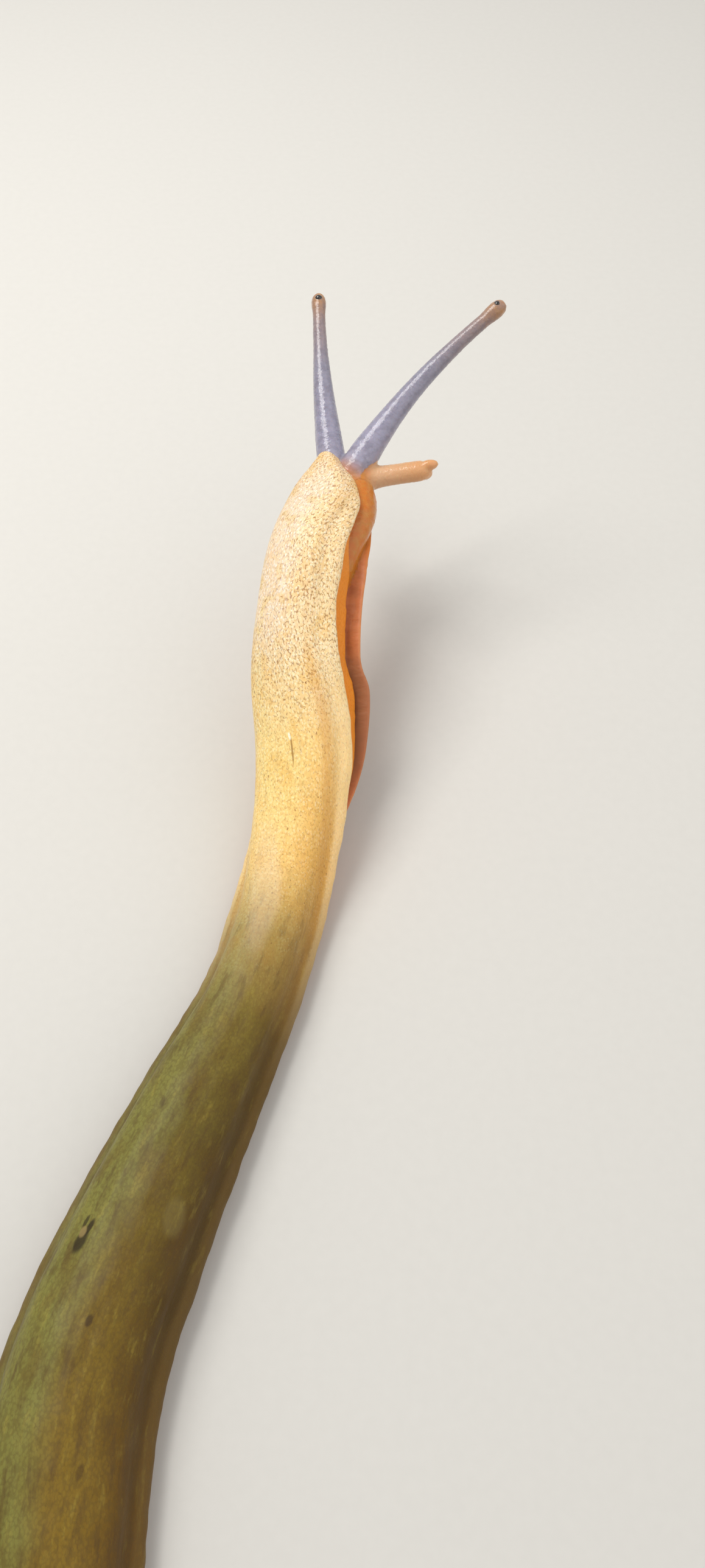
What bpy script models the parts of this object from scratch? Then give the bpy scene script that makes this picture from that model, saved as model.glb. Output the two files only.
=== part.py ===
"""A leatherleaf slug crawling with its front lifted and turned, at life size.

The animal is one soft body that is parted by thin cuts: the mantle on its back in five lengths,
the narrow foot below it in four, the head, two long eye feelers in two lengths each, two short
forked lower feelers and the two eyes. Every section of the body is worked out from its distance
along one path, so the mantle, foot and head always fit one another.

Sizes are millimetres until MM turns them to Blender's metres. +Y is the way it crawls, +X its
right-hand side, and the origin is on the sole at the middle of the body.
"""

import math

import bmesh
import bpy
from mathutils import Matrix, Vector

MM = 0.001
GAP = 0.3  # between neighbouring solids
RING_STEP = 2.6  # between sections along the body

# The path on the floor from the tip of the foot to the tip of the snout, as (x, y).
PATH = (
    (-1.0, -68.0),
    (-4.5, -58.0),
    (-6.9, -43.0),
    (-7.6, -28.0),
    (-7.1, -15.0),
    (-4.1, -4.5),
    (0.2, 7.0),
    (4.3, 17.5),
    (6.7, 28.0),
    (8.1, 38.0),
    (7.6, 48.0),
    (8.6, 57.0),
    (10.6, 63.2),
    (11.2, 68.8),
)

# Tables of (distance from the tip of the foot, value). The roll is in degrees.
LIFT = (
    (0, 0),
    (94, 0),
    (98, 0.3),
    (104, 1.7),
    (112, 4.6),
    (118, 7.2),
    (124, 10.0),
    (130, 12.4),
    (136, 14.2),
    (144, 15.6),
)
ROLL = (
    (0, 0),
    (94, 0),
    (100, 8),
    (106, 20),
    (112, 32),
    (118, 42),
    (124, 49),
    (128, 47),
    (131, 42),
    (134, 34),
    (138, 27),
    (144, 24),
)
HALF_WIDTH = (
    (1.2, 1.4),
    (2.2, 2.5),
    (4.0, 3.4),
    (8.0, 4.5),
    (16.0, 5.5),
    (30.0, 6.25),
    (48.0, 6.45),
    (62.0, 6.15),
    (76.0, 5.35),
    (90.0, 4.5),
    (102.0, 4.6),
    (116.0, 5.05),
    (126.0, 4.75),
    (132.0, 4.5),
    (134.6, 4.45),
    (136.2, 4.1),
    (137.6, 3.35),
    (139.0, 2.3),
    (140.0, 1.55),
    (140.6, 1.05),
)
TOP = (
    (0, 1.6),
    (2.2, 2.4),
    (4, 3.0),
    (8, 4.2),
    (16, 5.6),
    (30, 6.9),
    (48, 7.3),
    (62, 7.1),
    (76, 6.5),
    (90, 6.0),
    (104, 6.2),
    (118, 6.9),
    (130, 6.9),
    (136, 5.9),
    (140.6, 4.4),
)
KEEL = (
    (0, 1.0),
    (8, 1.5),
    (30, 2.0),
    (60, 2.0),
    (90, 1.7),
    (112, 1.9),
    (126, 2.4),
    (132, 2.7),
    (140.6, 3.0),
)
FOOT_HALF = (
    (0, 0.3),
    (1.2, 0.7),
    (4, 1.1),
    (12, 1.7),
    (30, 2.2),
    (50, 2.3),
    (76, 2.0),
    (96, 1.8),
    (116, 1.9),
    (132, 1.9),
)
FOOT_TOP = ((0, 0.8), (4, 1.2), (12, 1.8), (30, 2.2), (60, 2.2), (96, 2.0), (132, 2.0))
FOOT_DROP = ((0, 0), (96, 0), (104, 0.4), (112, 1.2), (118, 1.6), (128, 1.6), (132, 1.3))
FOOT_SHIFT = ((0, 0), (96, 0), (104, 0.5), (112, 0.9), (118, 0.8), (126, 0.6), (132, 0.4))

# How far the foot spreads to the right where the front is turned, and the share of it on the left.
FOOT_FLARE = ((0, 0), (98, 0), (106, 1.0), (112, 2.2), (117, 2.8), (122, 1.9), (127, 1.9), (132, 2.0))
LEFT_FLARE = 0.25
SOLE_EDGE = 0.3  # radius between the sole and the side of the foot
ORIGIN_AT = 71.0  # distance along the path that lies over the origin
CORE_SHARE = 0.45  # height of the axis of roll, as a share of the top

# The mantle's rim as (right, up) from its widest point, on a body at least FULL_HALF to each side.
RIM = ((-0.6, -0.45), (-0.12, -0.25), (0.0, 0.0), (-0.12, 0.35), (-0.5, 0.65), (-0.9, 0.72))
FULL_HALF = 4.0
BACK_FOOT = (-1.2, 0.95)  # where the arch of the back starts, from the same point
BACK_POINTS = 13

# The head below the hood: half-width, underside and top, where the hood doesn't set it.
HEAD_HALF = ((132, 3.9), (135, 4.0), (138, 3.45), (140, 2.7), (141.4, 1.75), (142.2, 0.8))
HEAD_LOW = ((132, -1.2), (136, -1.1), (139.5, -0.8), (141.4, -0.3), (142.2, 0.3))
HEAD_HIGH = ((138.8, 2.45), (140.6, 2.4), (141.4, 1.9), (142.2, 1.2))
HEAD_END = 142.2
HOOD_START = 132.0
HOOD_END = 140.6
HOLLOW_END = 138.8  # the hood is solid beyond this
HOLLOW_RISE = 3.0  # length over which the hollow rises to its full height
HOOD_SIDE = 1.15  # thickness of the hood's sides
HOOD_ROOF = 1.25  # thickness of the hood's top
HEAD_PLAY = GAP + 0.1  # between the head and the hollow that it fills

# The mouth: two lips and the slit between them, as half-sizes (right, ahead, up).
MOUTH_AT = 141.3
LIP = (0.52, 0.75, 0.85)
LIP_PLACE = (0.5, 0.15, 0.45)
SLIT = (0.13, 0.9, 0.62)
SLIT_PLACE = (0.0, 0.1, 1.15)

# Feelers: (right, up, distance) of the root inside the head, then world steps to the tip.
ROOTS = {
    "upper_left": (-0.25, 1.2, 138.2),
    "upper_right": (0.4, 1.2, 138.2),
    "lower_left": (-1.3, 0.3, 139.0),
    "lower_right": (1.3, 0.3, 139.0),
}
REACH = {
    "upper_left": (-1.9, 20.0, 9.2),
    "upper_right": (16.5, 14.75, 11.5),
    "lower_left": (0.8, 5.2, -3.9),
    "lower_right": (8.1, 0.9, 1.3),
}

# How far each feeler is bowed half-way along it, in world steps.
BOW = {
    "upper_left": (-0.4, 0.0, 0.3),
    "upper_right": (-0.95, 0.75, 0.25),
    "lower_left": (0.0, 0.0, 0.0),
    "lower_right": (0.0, 0.0, 0.0),
}
RIGHT_RADIUS = (
    (0, 1.5),
    (2.0, 1.62),
    (4.0, 1.58),
    (6.0, 1.41),
    (9.0, 1.17),
    (12.0, 1.0),
    (15.0, 0.88),
    (19.0, 0.74),
    (21.4, 0.71),
    (22.8, 0.84),
    (23.5, 0.78),
    (24.0, 0.44),
)
LEFT_RADIUS = (
    (0, 1.45),
    (3.0, 1.5),
    (6.0, 1.4),
    (9.0, 1.22),
    (12.6, 1.02),
    (18.0, 0.74),
    (21.4, 0.68),
    (22.8, 0.79),
    (23.5, 0.72),
    (24.0, 0.42),
)
LOWER_RADIUS = ((0, 1.35), (1.4, 1.32), (2.6, 1.18), (4.6, 1.1), (6.0, 1.12), (6.8, 0.95), (7.3, 0.45))
LOWER_FLAT = 0.9  # height of a lower feeler as a share of its width
UPPER_CUT = 13.0
UPPER_COLLAR = 4.4  # length of feeler that is one with the head
LOWER_COLLAR = 3.6
EYE_RADIUS = 0.38
EYE_BACK = 1.1  # from the tip of the feeler to the eye
EYE_OUT = 0.6  # from the feeler's middle line to the eye

# The two lobes of a lower feeler: (up from the middle line, radius, half-length, length past the stem).
LOBES = ((0.56, 0.5, 1.2, 0.95), (-0.42, 0.62, 1.1, 0.25))


def along(table, place):
    """Reads (distance, value) pairs as one smooth curve that never overshoots them."""
    if place <= table[0][0]:
        return float(table[0][1])
    if place >= table[-1][0]:
        return float(table[-1][1])
    runs = [b[0] - a[0] for a, b in zip(table, table[1:])]
    rises = [(b[1] - a[1]) / run for a, b, run in zip(table, table[1:], runs)]

    def slope(i):
        if i == 0 or i == len(rises):
            return rises[0] if i == 0 else rises[-1]
        if rises[i - 1] * rises[i] <= 0:
            return 0.0
        return 2 * rises[i - 1] * rises[i] / (rises[i - 1] + rises[i])

    i = max(n for n, (start, _) in enumerate(table[:-1]) if start <= place)
    t = (place - table[i][0]) / runs[i]
    low, high = table[i][1], table[i + 1][1]
    return (
        (1 + 2 * t) * (1 - t) ** 2 * low
        + t * (1 - t) ** 2 * runs[i] * slope(i)
        + t * t * (3 - 2 * t) * high
        - t * t * (1 - t) * runs[i] * slope(i + 1)
    )


def through(points, samples=24):
    """A smooth line through points, as closely spaced vectors."""
    ends = [2 * points[0] - points[1], *points, 2 * points[-1] - points[-2]]
    line = []
    for a, b, c, d in zip(ends, ends[1:], ends[2:], ends[3:]):
        for n in range(samples):
            t = n / samples
            bend = (2 * a - 5 * b + 4 * c - d) * t * t + (3 * b - a - 3 * c + d) * t**3
            line.append(0.5 * (2 * b + (c - a) * t + bend))
    return [*line, points[-1].copy()]


class Route:
    """A line that can be read by the distance along it."""

    def __init__(self, points):
        self.line = through(points)
        self.at = [0.0]
        for a, b in zip(self.line, self.line[1:]):
            self.at.append(self.at[-1] + (b - a).length)
        self.length = self.at[-1]

    def point(self, distance):
        if distance >= self.length:
            last = (self.line[-1] - self.line[-2]).normalized()
            return self.line[-1] + last * (distance - self.length)
        i = max(n for n, start in enumerate(self.at[:-1]) if start <= max(distance, 0.0))
        share = (distance - self.at[i]) / (self.at[i + 1] - self.at[i])
        return self.line[i].lerp(self.line[i + 1], share)

    def heading(self, distance, reach=0.5):
        return (self.point(distance + reach) - self.point(distance - reach)).normalized()


def body_route():
    """The body's path, moved so that the origin lies under the middle of the body."""
    route = Route([Vector((x, y, 0.0)) for x, y in PATH])
    middle = route.point(ORIGIN_AT)
    return Route([Vector((x, y, 0.0)) - middle for x, y in PATH])


BODY = body_route()


class Section:
    """The frame of the body at one distance: place turns (right, up) into a point."""

    def __init__(self, distance):
        reach = 0.5
        rise = (along(LIFT, distance + reach) - along(LIFT, distance - reach)) / (2 * reach)
        self.forward = (BODY.heading(distance) + Vector((0, 0, rise))).normalized()
        level = self.forward.cross(Vector((0, 0, 1))).normalized()
        upright = level.cross(self.forward)
        roll = math.radians(along(ROLL, distance))
        self.right = level * math.cos(roll) + upright * math.sin(roll)
        self.up = upright * math.cos(roll) - level * math.sin(roll)
        self.core = CORE_SHARE * along(TOP, distance)
        self.centre = BODY.point(distance) + Vector((0, 0, along(LIFT, distance))) + self.core * upright

    def place(self, right, up, ahead=0.0):
        return self.centre + self.right * right + self.up * (up - self.core) + self.forward * ahead


def arch(half, low, top, count, power=0.85, shift=0.0):
    """Points over an arch, from its right foot to its left foot, both left out."""
    points = []
    for n in range(1, count + 1):
        angle = math.pi * n / (count + 1)
        side = math.copysign(abs(math.cos(angle)) ** power, math.cos(angle))
        points.append((shift + half * side, low + (top - low) * math.sin(angle) ** power))
    return points


def foot_outline(distance, offset=0.0):
    """Side and top points of the foot, grown by offset, and its shift to the right."""
    half = along(FOOT_HALF, distance) + offset
    top = along(FOOT_TOP, distance) + offset
    shift = along(FOOT_SHIFT, distance)
    shoulder = 0.62 * top
    over = arch(half * 0.97, shoulder, top, 5, 0.75, shift)
    return half, shoulder, over, shift


def foot_ring(distance):
    """The sole, flat below, with a soft edge that spreads to the right where the front is turned."""
    half, shoulder, over, shift = foot_outline(distance)
    sole = -along(FOOT_DROP, distance)
    flare = along(FOOT_FLARE, distance)
    edge = SOLE_EDGE * min(1.0, half)
    sides = []
    for way, spread in ((1, flare), (-1, LEFT_FLARE * flare)):
        rim = shift + way * (half + spread)
        sides.append(
            [
                (rim - way * edge, sole),
                (rim, sole + edge),
                (shift + way * (half + 0.3 * spread), 0.65 * (sole + edge) + 0.21 * shoulder),
                (shift + way * half, shoulder * 0.6),
                (shift + way * 0.97 * half, shoulder),
            ]
        )
    right, left = sides
    return [*right, *over, *reversed(left)]


def mantle_edge(distance):
    """The rim's corners on the right, the points over the back, the rim's height and its size."""
    half, top, keel = (along(table, distance) for table in (HALF_WIDTH, TOP, KEEL))
    size = min(1.0, half / FULL_HALF)
    rim = [(half + size * right, keel + size * up) for right, up in RIM]
    back = arch(half + size * BACK_FOOT[0], keel + size * BACK_FOOT[1], top, BACK_POINTS)
    return rim, back, keel, size


def mantle_ring(distance):
    """The leathery back: an arched top, a rimmed edge and the soft underside round the foot."""
    rim, back, _, size = mantle_edge(distance)
    groove, shoulder, roof, shift = foot_outline(distance, GAP)
    mouth = 0.5 * size
    sides = []
    for way in (-1, 1):
        inner = [
            (shift + way * 0.97 * groove, shoulder),
            (shift + way * groove, mouth + 0.2 * size),
            (shift + way * (groove + 0.35 * size), mouth),
        ]
        outer = [(way * r, u) for r, u in rim]
        belly = (
            (inner[-1][0] + outer[0][0]) / 2,
            (inner[-1][1] + outer[0][1]) / 2 - 0.25 * size,
        )
        sides.append([*inner, belly, *outer])
    left, right = sides
    return [*right, *back, *reversed(left), *reversed(roof)]


def hood_ring(distance):
    """The front of the mantle, hollow below, where the head comes out."""
    rim, back, keel, size = mantle_edge(distance)
    inner_half, inner_top = hood_inside(distance)
    widest = rim[2][0]
    right = [
        (inner_half, keel - 0.2 * size),
        ((inner_half + widest) / 2, rim[0][1]),
        *rim[1:],
    ]
    left = [(-r, u) for r, u in reversed(right)]
    inside = arch(inner_half, keel - 0.1 * size, inner_top, 7)
    return [*right, *back, *left, *reversed(inside)]


def hood_inside(distance):
    """Half-width and top of the hollow under the hood."""
    half, top, keel = (along(table, distance) for table in (HALF_WIDTH, TOP, KEEL))
    size = min(1.0, half / FULL_HALF)
    depth = min(1.0, max(0.0, (HOLLOW_END - distance) / HOLLOW_RISE))
    return max(0.12, half - HOOD_SIDE * size), keel + 0.05 + depth * (top - HOOD_ROOF * size - keel)


def loft(rings):
    """A closed mesh, made by extruding a face through the rings."""
    bm = bmesh.new()
    face = bm.faces.new([bm.verts.new(point) for point in rings[0]])
    inner = []
    for ring in rings[1:]:
        made = bmesh.ops.extrude_face_region(bm, geom=[face])["geom"]
        inner.append(face)
        face = next(f for f in made if isinstance(f, bmesh.types.BMFace) and len(f.verts) == len(ring))
        for vert, point in zip(face.verts, ring):
            vert.co = point
    bmesh.ops.delete(bm, geom=inner[1:], context="FACES_ONLY")
    bmesh.ops.recalc_face_normals(bm, faces=bm.faces)
    return bm


def stations(start, end, step=RING_STEP):
    count = max(2, round((end - start) / step))
    return [start + (end - start) * n / count for n in range(count + 1)]


def close_to(end, others, near=(0.0, 0.35, 0.9, 1.7)):
    """The stations with extra ones near an end, so that a rounded tip stays round."""
    sign = 1 if others[-1] > end else -1
    extra = [end + sign * n for n in near]
    kept = [d for d in others if abs(d - end) > near[-1] + 0.6]
    return sorted([*extra, *kept])


def finish_object(name, bm, material):
    mesh = bpy.data.meshes.new(name)
    bm.to_mesh(mesh)
    bm.free()
    mesh.transform(Matrix.Scale(MM, 4))
    mesh.materials.append(material)
    mesh.shade_smooth()
    mesh.set_sharp_from_angle(angle=math.radians(50))
    made = bpy.data.objects.new(name, mesh)
    bpy.context.scene.collection.objects.link(made)
    return made


def body_length(name, ring, distances, material):
    rings = [[Section(d).place(r, u) for r, u in ring(d)] for d in distances]
    return finish_object(name, loft(rings), material)


def finish_material(name, colour, roughness):
    material = bpy.data.materials.new(name)
    material.use_nodes = True
    shader = material.node_tree.nodes["Principled BSDF"]
    shader.inputs["Base Color"].default_value = (*colour, 1.0)
    shader.inputs["Roughness"].default_value = roughness
    material.diffuse_color = (*colour, 1.0)
    return material


def head_ring(distance):
    """The head: narrow where it fills the hood, wide and soft below it."""
    half, low = along(HEAD_HALF, distance), along(HEAD_LOW, distance)
    if distance < HOOD_END + 0.4:
        inner_half, inner_top = hood_inside(min(distance, HOOD_END))
        keel = along(KEEL, distance)
        high = inner_top - HEAD_PLAY if distance < HOLLOW_END else along(HEAD_HIGH, distance)
        neck = max(0.3, inner_half - HEAD_PLAY)
        shoulder = keel - 0.95
        over = arch(neck, keel - 0.5, high, 7)
    else:
        high = along(HEAD_HIGH, distance)
        shoulder = low + 0.72 * (high - low)
        neck = 0.62 * half
        over = arch(neck, shoulder + 0.12 * (high - low), high, 7)
    side = [
        (0.45 * half, low),
        (0.8 * half, low + 0.12 * (shoulder - low)),
        (0.97 * half, low + 0.38 * (shoulder - low)),
        (half, low + 0.66 * (shoulder - low)),
        (0.93 * half, shoulder - 0.02),
        (max(neck + 0.1, 0.8 * half), shoulder + 0.12 * (high - low) * 0.5),
    ]
    return [*side, *over, *((-r, u) for r, u in reversed(side))]


class Tube:
    """A round feeler along a line in space, with its own table of radii."""

    def __init__(self, name, radii, flat=1.0):
        right, up, distance = ROOTS[name]
        start, reach, bow = Section(distance).place(right, up), Vector(REACH[name]), Vector(BOW[name])
        self.route = Route([start + reach * n / 4 + bow * math.sin(math.pi * n / 4) for n in range(5)])
        self.radii = radii
        self.share = radii[-1][0] / self.route.length
        self.flat = flat

    def frame(self, distance):
        forward = self.route.heading(distance, 0.2)
        across = forward.cross(Vector((0, 0, 1))).normalized()
        return forward, across, across.cross(forward)

    def ring(self, distance, count=14, offset=0.0):
        forward, across, upward = self.frame(distance)
        radius = along(self.radii, distance * self.share) + offset
        centre = self.route.point(distance)
        points = []
        for n in range(count):
            angle = math.tau * n / count
            step = across * math.cos(angle) + upward * self.flat * math.sin(angle)
            points.append(centre + radius * step)
        return points

    def piece(self, start, end, step=1.1, count=14, round_end=False, offset=0.0):
        places = stations(start, end, step)
        if round_end:
            near = (1.2, 0.75, 0.4, 0.15, 0.0)
            places = [*(d for d in places if d < end - near[0] - 0.1), *(end - n for n in near)]
        return loft([self.ring(d, count, offset) for d in places])


def ball(centre, radius, segments=16, rings=10, stretch=None):
    bm = bmesh.new()
    bmesh.ops.create_uvsphere(bm, u_segments=segments, v_segments=rings, radius=radius)
    if stretch is not None:
        bmesh.ops.transform(bm, matrix=stretch, verts=bm.verts)
    bmesh.ops.translate(bm, vec=centre, verts=bm.verts)
    return bm


def largest_shell(bm):
    """Keeps the largest connected surface only."""
    left, best = set(bm.verts), []
    while left:
        found, queue = set(), [left.pop()]
        while queue:
            vert = queue.pop()
            found.add(vert)
            for edge in vert.link_edges:
                other = edge.other_vert(vert)
                if other in left:
                    left.discard(other)
                    queue.append(other)
        if len(found) > len(best):
            best = found
    bmesh.ops.delete(bm, geom=[v for v in bm.verts if v not in best], context="VERTS")


def fuse(name, pieces, holes, material):
    """One solid from overlapping pieces, less the holes."""
    made = finish_object(name, pieces[0], material)
    steps = (("UNION", pieces[1:]), ("DIFFERENCE", holes))
    for operation, others in steps:
        if not others:
            continue
        group = bpy.data.collections.new(f"{name} {operation.lower()}")
        bpy.context.scene.collection.children.link(group)
        for number, piece in enumerate(others):
            other = finish_object(f"{name} {operation.lower()} {number}", piece, material)
            bpy.context.scene.collection.objects.unlink(other)
            group.objects.link(other)
        boolean = made.modifiers.new(operation.lower(), "BOOLEAN")
        boolean.operation = operation
        boolean.operand_type = "COLLECTION"
        boolean.collection = group
        boolean.solver = "EXACT"
        graph = bpy.context.evaluated_depsgraph_get()
        mesh = bpy.data.meshes.new_from_object(made.evaluated_get(graph))
        made.modifiers.clear()
        made.data = mesh
        for other in list(group.objects):
            bpy.data.objects.remove(other)
        bpy.data.collections.remove(group)
    bm = bmesh.new()
    bm.from_mesh(made.data)
    bmesh.ops.remove_doubles(bm, verts=bm.verts, dist=0.00002)
    bmesh.ops.dissolve_degenerate(bm, edges=bm.edges, dist=0.00001)
    largest_shell(bm)
    bmesh.ops.recalc_face_normals(bm, faces=bm.faces)
    bm.to_mesh(made.data)
    bm.free()
    made.data.shade_smooth()
    made.data.set_sharp_from_angle(angle=math.radians(50))
    return made


def mouth_pieces():
    """The two lips and the slit that is cut between them."""
    front = Section(MOUTH_AT)
    turn = Matrix((front.right, front.forward, front.up)).transposed().to_4x4()
    right, up, ahead = LIP_PLACE
    lip = turn @ Matrix.Diagonal((*LIP, 1.0))
    lips = [ball(front.place(way * right, up, ahead), 1.0, 14, 10, lip) for way in (-1, 1)]
    slit = ball(front.place(*SLIT_PLACE), 1.0, 12, 8, turn @ Matrix.Diagonal((*SLIT, 1.0)))
    return lips, slit


def upper_feeler(side, tube, feeler, lens):
    """A long feeler beyond the head in two lengths, with its eye in a round socket."""
    length = tube.route.length
    base = tube.piece(UPPER_COLLAR + GAP, UPPER_CUT - GAP / 2)
    finish_object(f"upper_tentacle_{side}_base", base, feeler)
    tip = tube.piece(UPPER_CUT + GAP / 2, length, 1.1, 14, True)
    forward, _, upward = tube.frame(length - EYE_BACK)
    away = (upward * 0.8 + forward * 0.6).normalized()
    eye = tube.route.point(length - EYE_BACK) + away * EYE_OUT
    socket = ball(eye, EYE_RADIUS + 0.13, 14, 8)
    fuse(f"upper_tentacle_{side}_tip", [tip], [socket], feeler)
    finish_object(f"eye_{side}", ball(eye, EYE_RADIUS), lens)


def lower_feeler(side, tube, feeler):
    """A short feeler beyond the head, forked at its end into two lobes."""
    length = tube.route.length
    pieces = [tube.piece(LOWER_COLLAR + GAP, length, 0.9, 12, True)]
    forward, _, upward = tube.frame(length)
    turn = forward.to_track_quat("Z", "Y").to_matrix().to_4x4()
    for aside, radius, half_length, past in LOBES:
        centre = tube.route.point(length + past - half_length) + upward * aside
        lobe = turn @ Matrix.Diagonal((radius, radius, half_length, 1.0))
        pieces.append(ball(centre, 1.0, 14, 10, lobe))
    fuse(f"lower_tentacle_{side}", pieces, [], feeler)


def head_and_feelers(uppers, flesh, feeler, lens):
    """The head in one with the roots of its four feelers, and the feelers beyond them."""
    near = (0.0, 0.08, 0.25, 0.5, 0.85, 1.25)
    places = [*stations(HOOD_START + GAP / 2, HOOD_END, 1.1), *(HEAD_END - n for n in reversed(near))]
    head = [loft([[Section(d).place(r, u) for r, u in head_ring(d)] for d in places])]
    lips, slit = mouth_pieces()
    head.extend(lips)
    for side, tube in uppers.items():
        head.append(tube.piece(0.2, UPPER_COLLAR))
        upper_feeler(side, tube, feeler, lens)
    for side in ("left", "right"):
        tube = Tube(f"lower_{side}", LOWER_RADIUS, LOWER_FLAT)
        head.append(tube.piece(0.2, LOWER_COLLAR, 0.8, 12))
        lower_feeler(side, tube, feeler)
    fuse("head", head, [slit], flesh)


def main():
    for old in list(bpy.data.objects):
        bpy.data.objects.remove(old)
    mantle = finish_material("leathery mantle", (0.72, 0.44, 0.07), 0.5)
    sole = finish_material("soft foot", (0.66, 0.3, 0.14), 0.4)
    flesh = finish_material("head flesh", (0.7, 0.25, 0.05), 0.35)
    feeler = finish_material("feeler flesh", (0.42, 0.36, 0.4), 0.3)
    lens = finish_material("dark eye", (0.01, 0.008, 0.008), 0.1)
    cuts = (1.2, 28.0, 59.0, 90.0, HOOD_START)
    names = ("tail", "rear", "middle", "front")
    for name, start, end in zip(names, cuts, cuts[1:]):
        places = stations(start + GAP / 2, end - GAP / 2)
        if name == "tail":
            places = close_to(start, places)
        body_length(f"mantle_{name}", mantle_ring, places, mantle)
    places = close_to(HOOD_END, stations(HOOD_START + GAP / 2, HOOD_END, 1.6))
    uppers = {"left": Tube("upper_left", LEFT_RADIUS), "right": Tube("upper_right", RIGHT_RADIUS)}
    hood = loft([[Section(d).place(r, u) for r, u in hood_ring(d)] for d in places])
    passages = [tube.piece(0.2, UPPER_COLLAR + 2, 1.1, 16, False, GAP) for tube in uppers.values()]
    fuse("mantle_hood", [hood], passages, mantle)
    foot_cuts = (0.0, *cuts[1:])
    for name, start, end in zip(names, foot_cuts, foot_cuts[1:]):
        places = stations(start + GAP / 2, end - GAP / 2)
        if name == "tail":
            places = close_to(0.0, places)
        body_length(f"foot_{name}", foot_ring, places, sole)
    head_and_feelers(uppers, flesh, feeler, lens)


main()
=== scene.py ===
"""Leatherleaf slug, life size: one skin over the fixed frame, two eyes, a pale floor and soft light.

The skin is worked out in millimetres from the same named sizes as the solids and is turned to metres
at the end. Three forms make it: the mantle with its hood, the foot, and the head with its four
feelers. A union makes them one closed skin, so no seam shows. Attributes on its points say how far
along and across the body each point lies, and the materials read them.
"""

import math
from functools import partial

import bmesh
import bpy
from mathutils import Matrix, Vector, kdtree, noise


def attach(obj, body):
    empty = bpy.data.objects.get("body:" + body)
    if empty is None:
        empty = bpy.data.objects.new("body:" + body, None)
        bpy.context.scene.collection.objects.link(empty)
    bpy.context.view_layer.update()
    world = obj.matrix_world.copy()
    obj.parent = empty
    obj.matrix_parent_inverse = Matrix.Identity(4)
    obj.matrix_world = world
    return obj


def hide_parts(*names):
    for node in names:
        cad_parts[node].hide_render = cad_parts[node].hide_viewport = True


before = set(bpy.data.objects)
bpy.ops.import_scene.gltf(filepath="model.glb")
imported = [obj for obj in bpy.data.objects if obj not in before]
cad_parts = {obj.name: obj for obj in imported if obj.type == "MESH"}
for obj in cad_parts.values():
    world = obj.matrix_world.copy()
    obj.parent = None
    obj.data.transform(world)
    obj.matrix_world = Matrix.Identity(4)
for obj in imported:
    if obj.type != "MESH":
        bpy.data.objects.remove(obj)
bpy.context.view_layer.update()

bl_info = {
    "name": "Leatherleaf Slug",
    "version": (1, 0, 0),
    "blender": (4, 5, 0),
    "location": "3D View > Sidebar > Slug",
    "description": "Builds the skin, the eyes and the studio of a life-size leatherleaf slug",
    "category": "Object",
}

MM = 0.001

# The path on the floor from the tip of the foot to the tip of the snout, as (x, y).
PATH = (
    (-1.0, -68.0),
    (-4.5, -58.0),
    (-6.9, -43.0),
    (-7.6, -28.0),
    (-7.1, -15.0),
    (-4.1, -4.5),
    (0.2, 7.0),
    (4.3, 17.5),
    (6.7, 28.0),
    (8.1, 38.0),
    (7.6, 48.0),
    (8.6, 57.0),
    (10.6, 63.2),
    (11.2, 68.8),
)
ORIGIN_AT = 71.0

# Tables of (distance from the tip of the foot, value).
LIFT = (
    (0, 0),
    (94, 0),
    (98, 0.3),
    (104, 1.7),
    (112, 4.6),
    (118, 7.2),
    (124, 10.0),
    (130, 12.4),
    (136, 14.2),
    (144, 15.6),
)
ROLL = (
    (0, 0),
    (94, 0),
    (100, 8),
    (106, 20),
    (112, 32),
    (118, 42),
    (124, 49),
    (128, 47),
    (131, 42),
    (134, 34),
    (138, 27),
    (144, 24),
)
HALF_WIDTH = (
    (1.2, 1.4),
    (2.2, 2.5),
    (4.0, 3.4),
    (8.0, 4.5),
    (16.0, 5.5),
    (30.0, 6.25),
    (48.0, 6.45),
    (62.0, 6.15),
    (76.0, 5.35),
    (90.0, 4.5),
    (102.0, 4.6),
    (116.0, 5.05),
    (126.0, 4.75),
    (132.0, 4.5),
    (134.6, 4.45),
    (136.2, 4.1),
    (137.6, 3.35),
    (139.0, 2.3),
    (140.0, 1.55),
    (140.6, 1.05),
)
TOP = (
    (0, 1.6),
    (2.2, 2.4),
    (4, 3.0),
    (8, 4.2),
    (16, 5.6),
    (30, 6.9),
    (48, 7.3),
    (62, 7.1),
    (76, 6.5),
    (90, 6.0),
    (104, 6.2),
    (118, 6.9),
    (130, 6.9),
    (136, 5.9),
    (140.6, 4.4),
)
KEEL = ((0, 1.0), (8, 1.5), (30, 2.0), (60, 2.0), (90, 1.7), (112, 1.9), (126, 2.4), (132, 2.7), (140.6, 3.0))
FOOT_HALF = (
    (0, 0.3),
    (1.2, 0.7),
    (4, 1.1),
    (12, 1.7),
    (30, 2.2),
    (50, 2.3),
    (76, 2.0),
    (96, 1.8),
    (116, 1.9),
    (132, 1.9),
)
FOOT_TOP = ((0, 0.8), (4, 1.2), (12, 1.8), (30, 2.2), (60, 2.2), (96, 2.0), (132, 2.0))
FOOT_DROP = ((0, 0), (96, 0), (104, 0.4), (112, 1.2), (118, 1.6), (128, 1.6), (132, 1.3))
FOOT_SHIFT = ((0, 0), (96, 0), (104, 0.5), (112, 0.9), (118, 0.8), (126, 0.6), (132, 0.4))
FOOT_FLARE = ((0, 0), (98, 0), (106, 1.0), (112, 2.2), (117, 2.7), (121, 1.7), (127, 1.6), (132, 2.0))
LEFT_FLARE = 0.25
SOLE_EDGE = 0.3
CORE_SHARE = 0.45
FULL_HALF = 4.0

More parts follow.
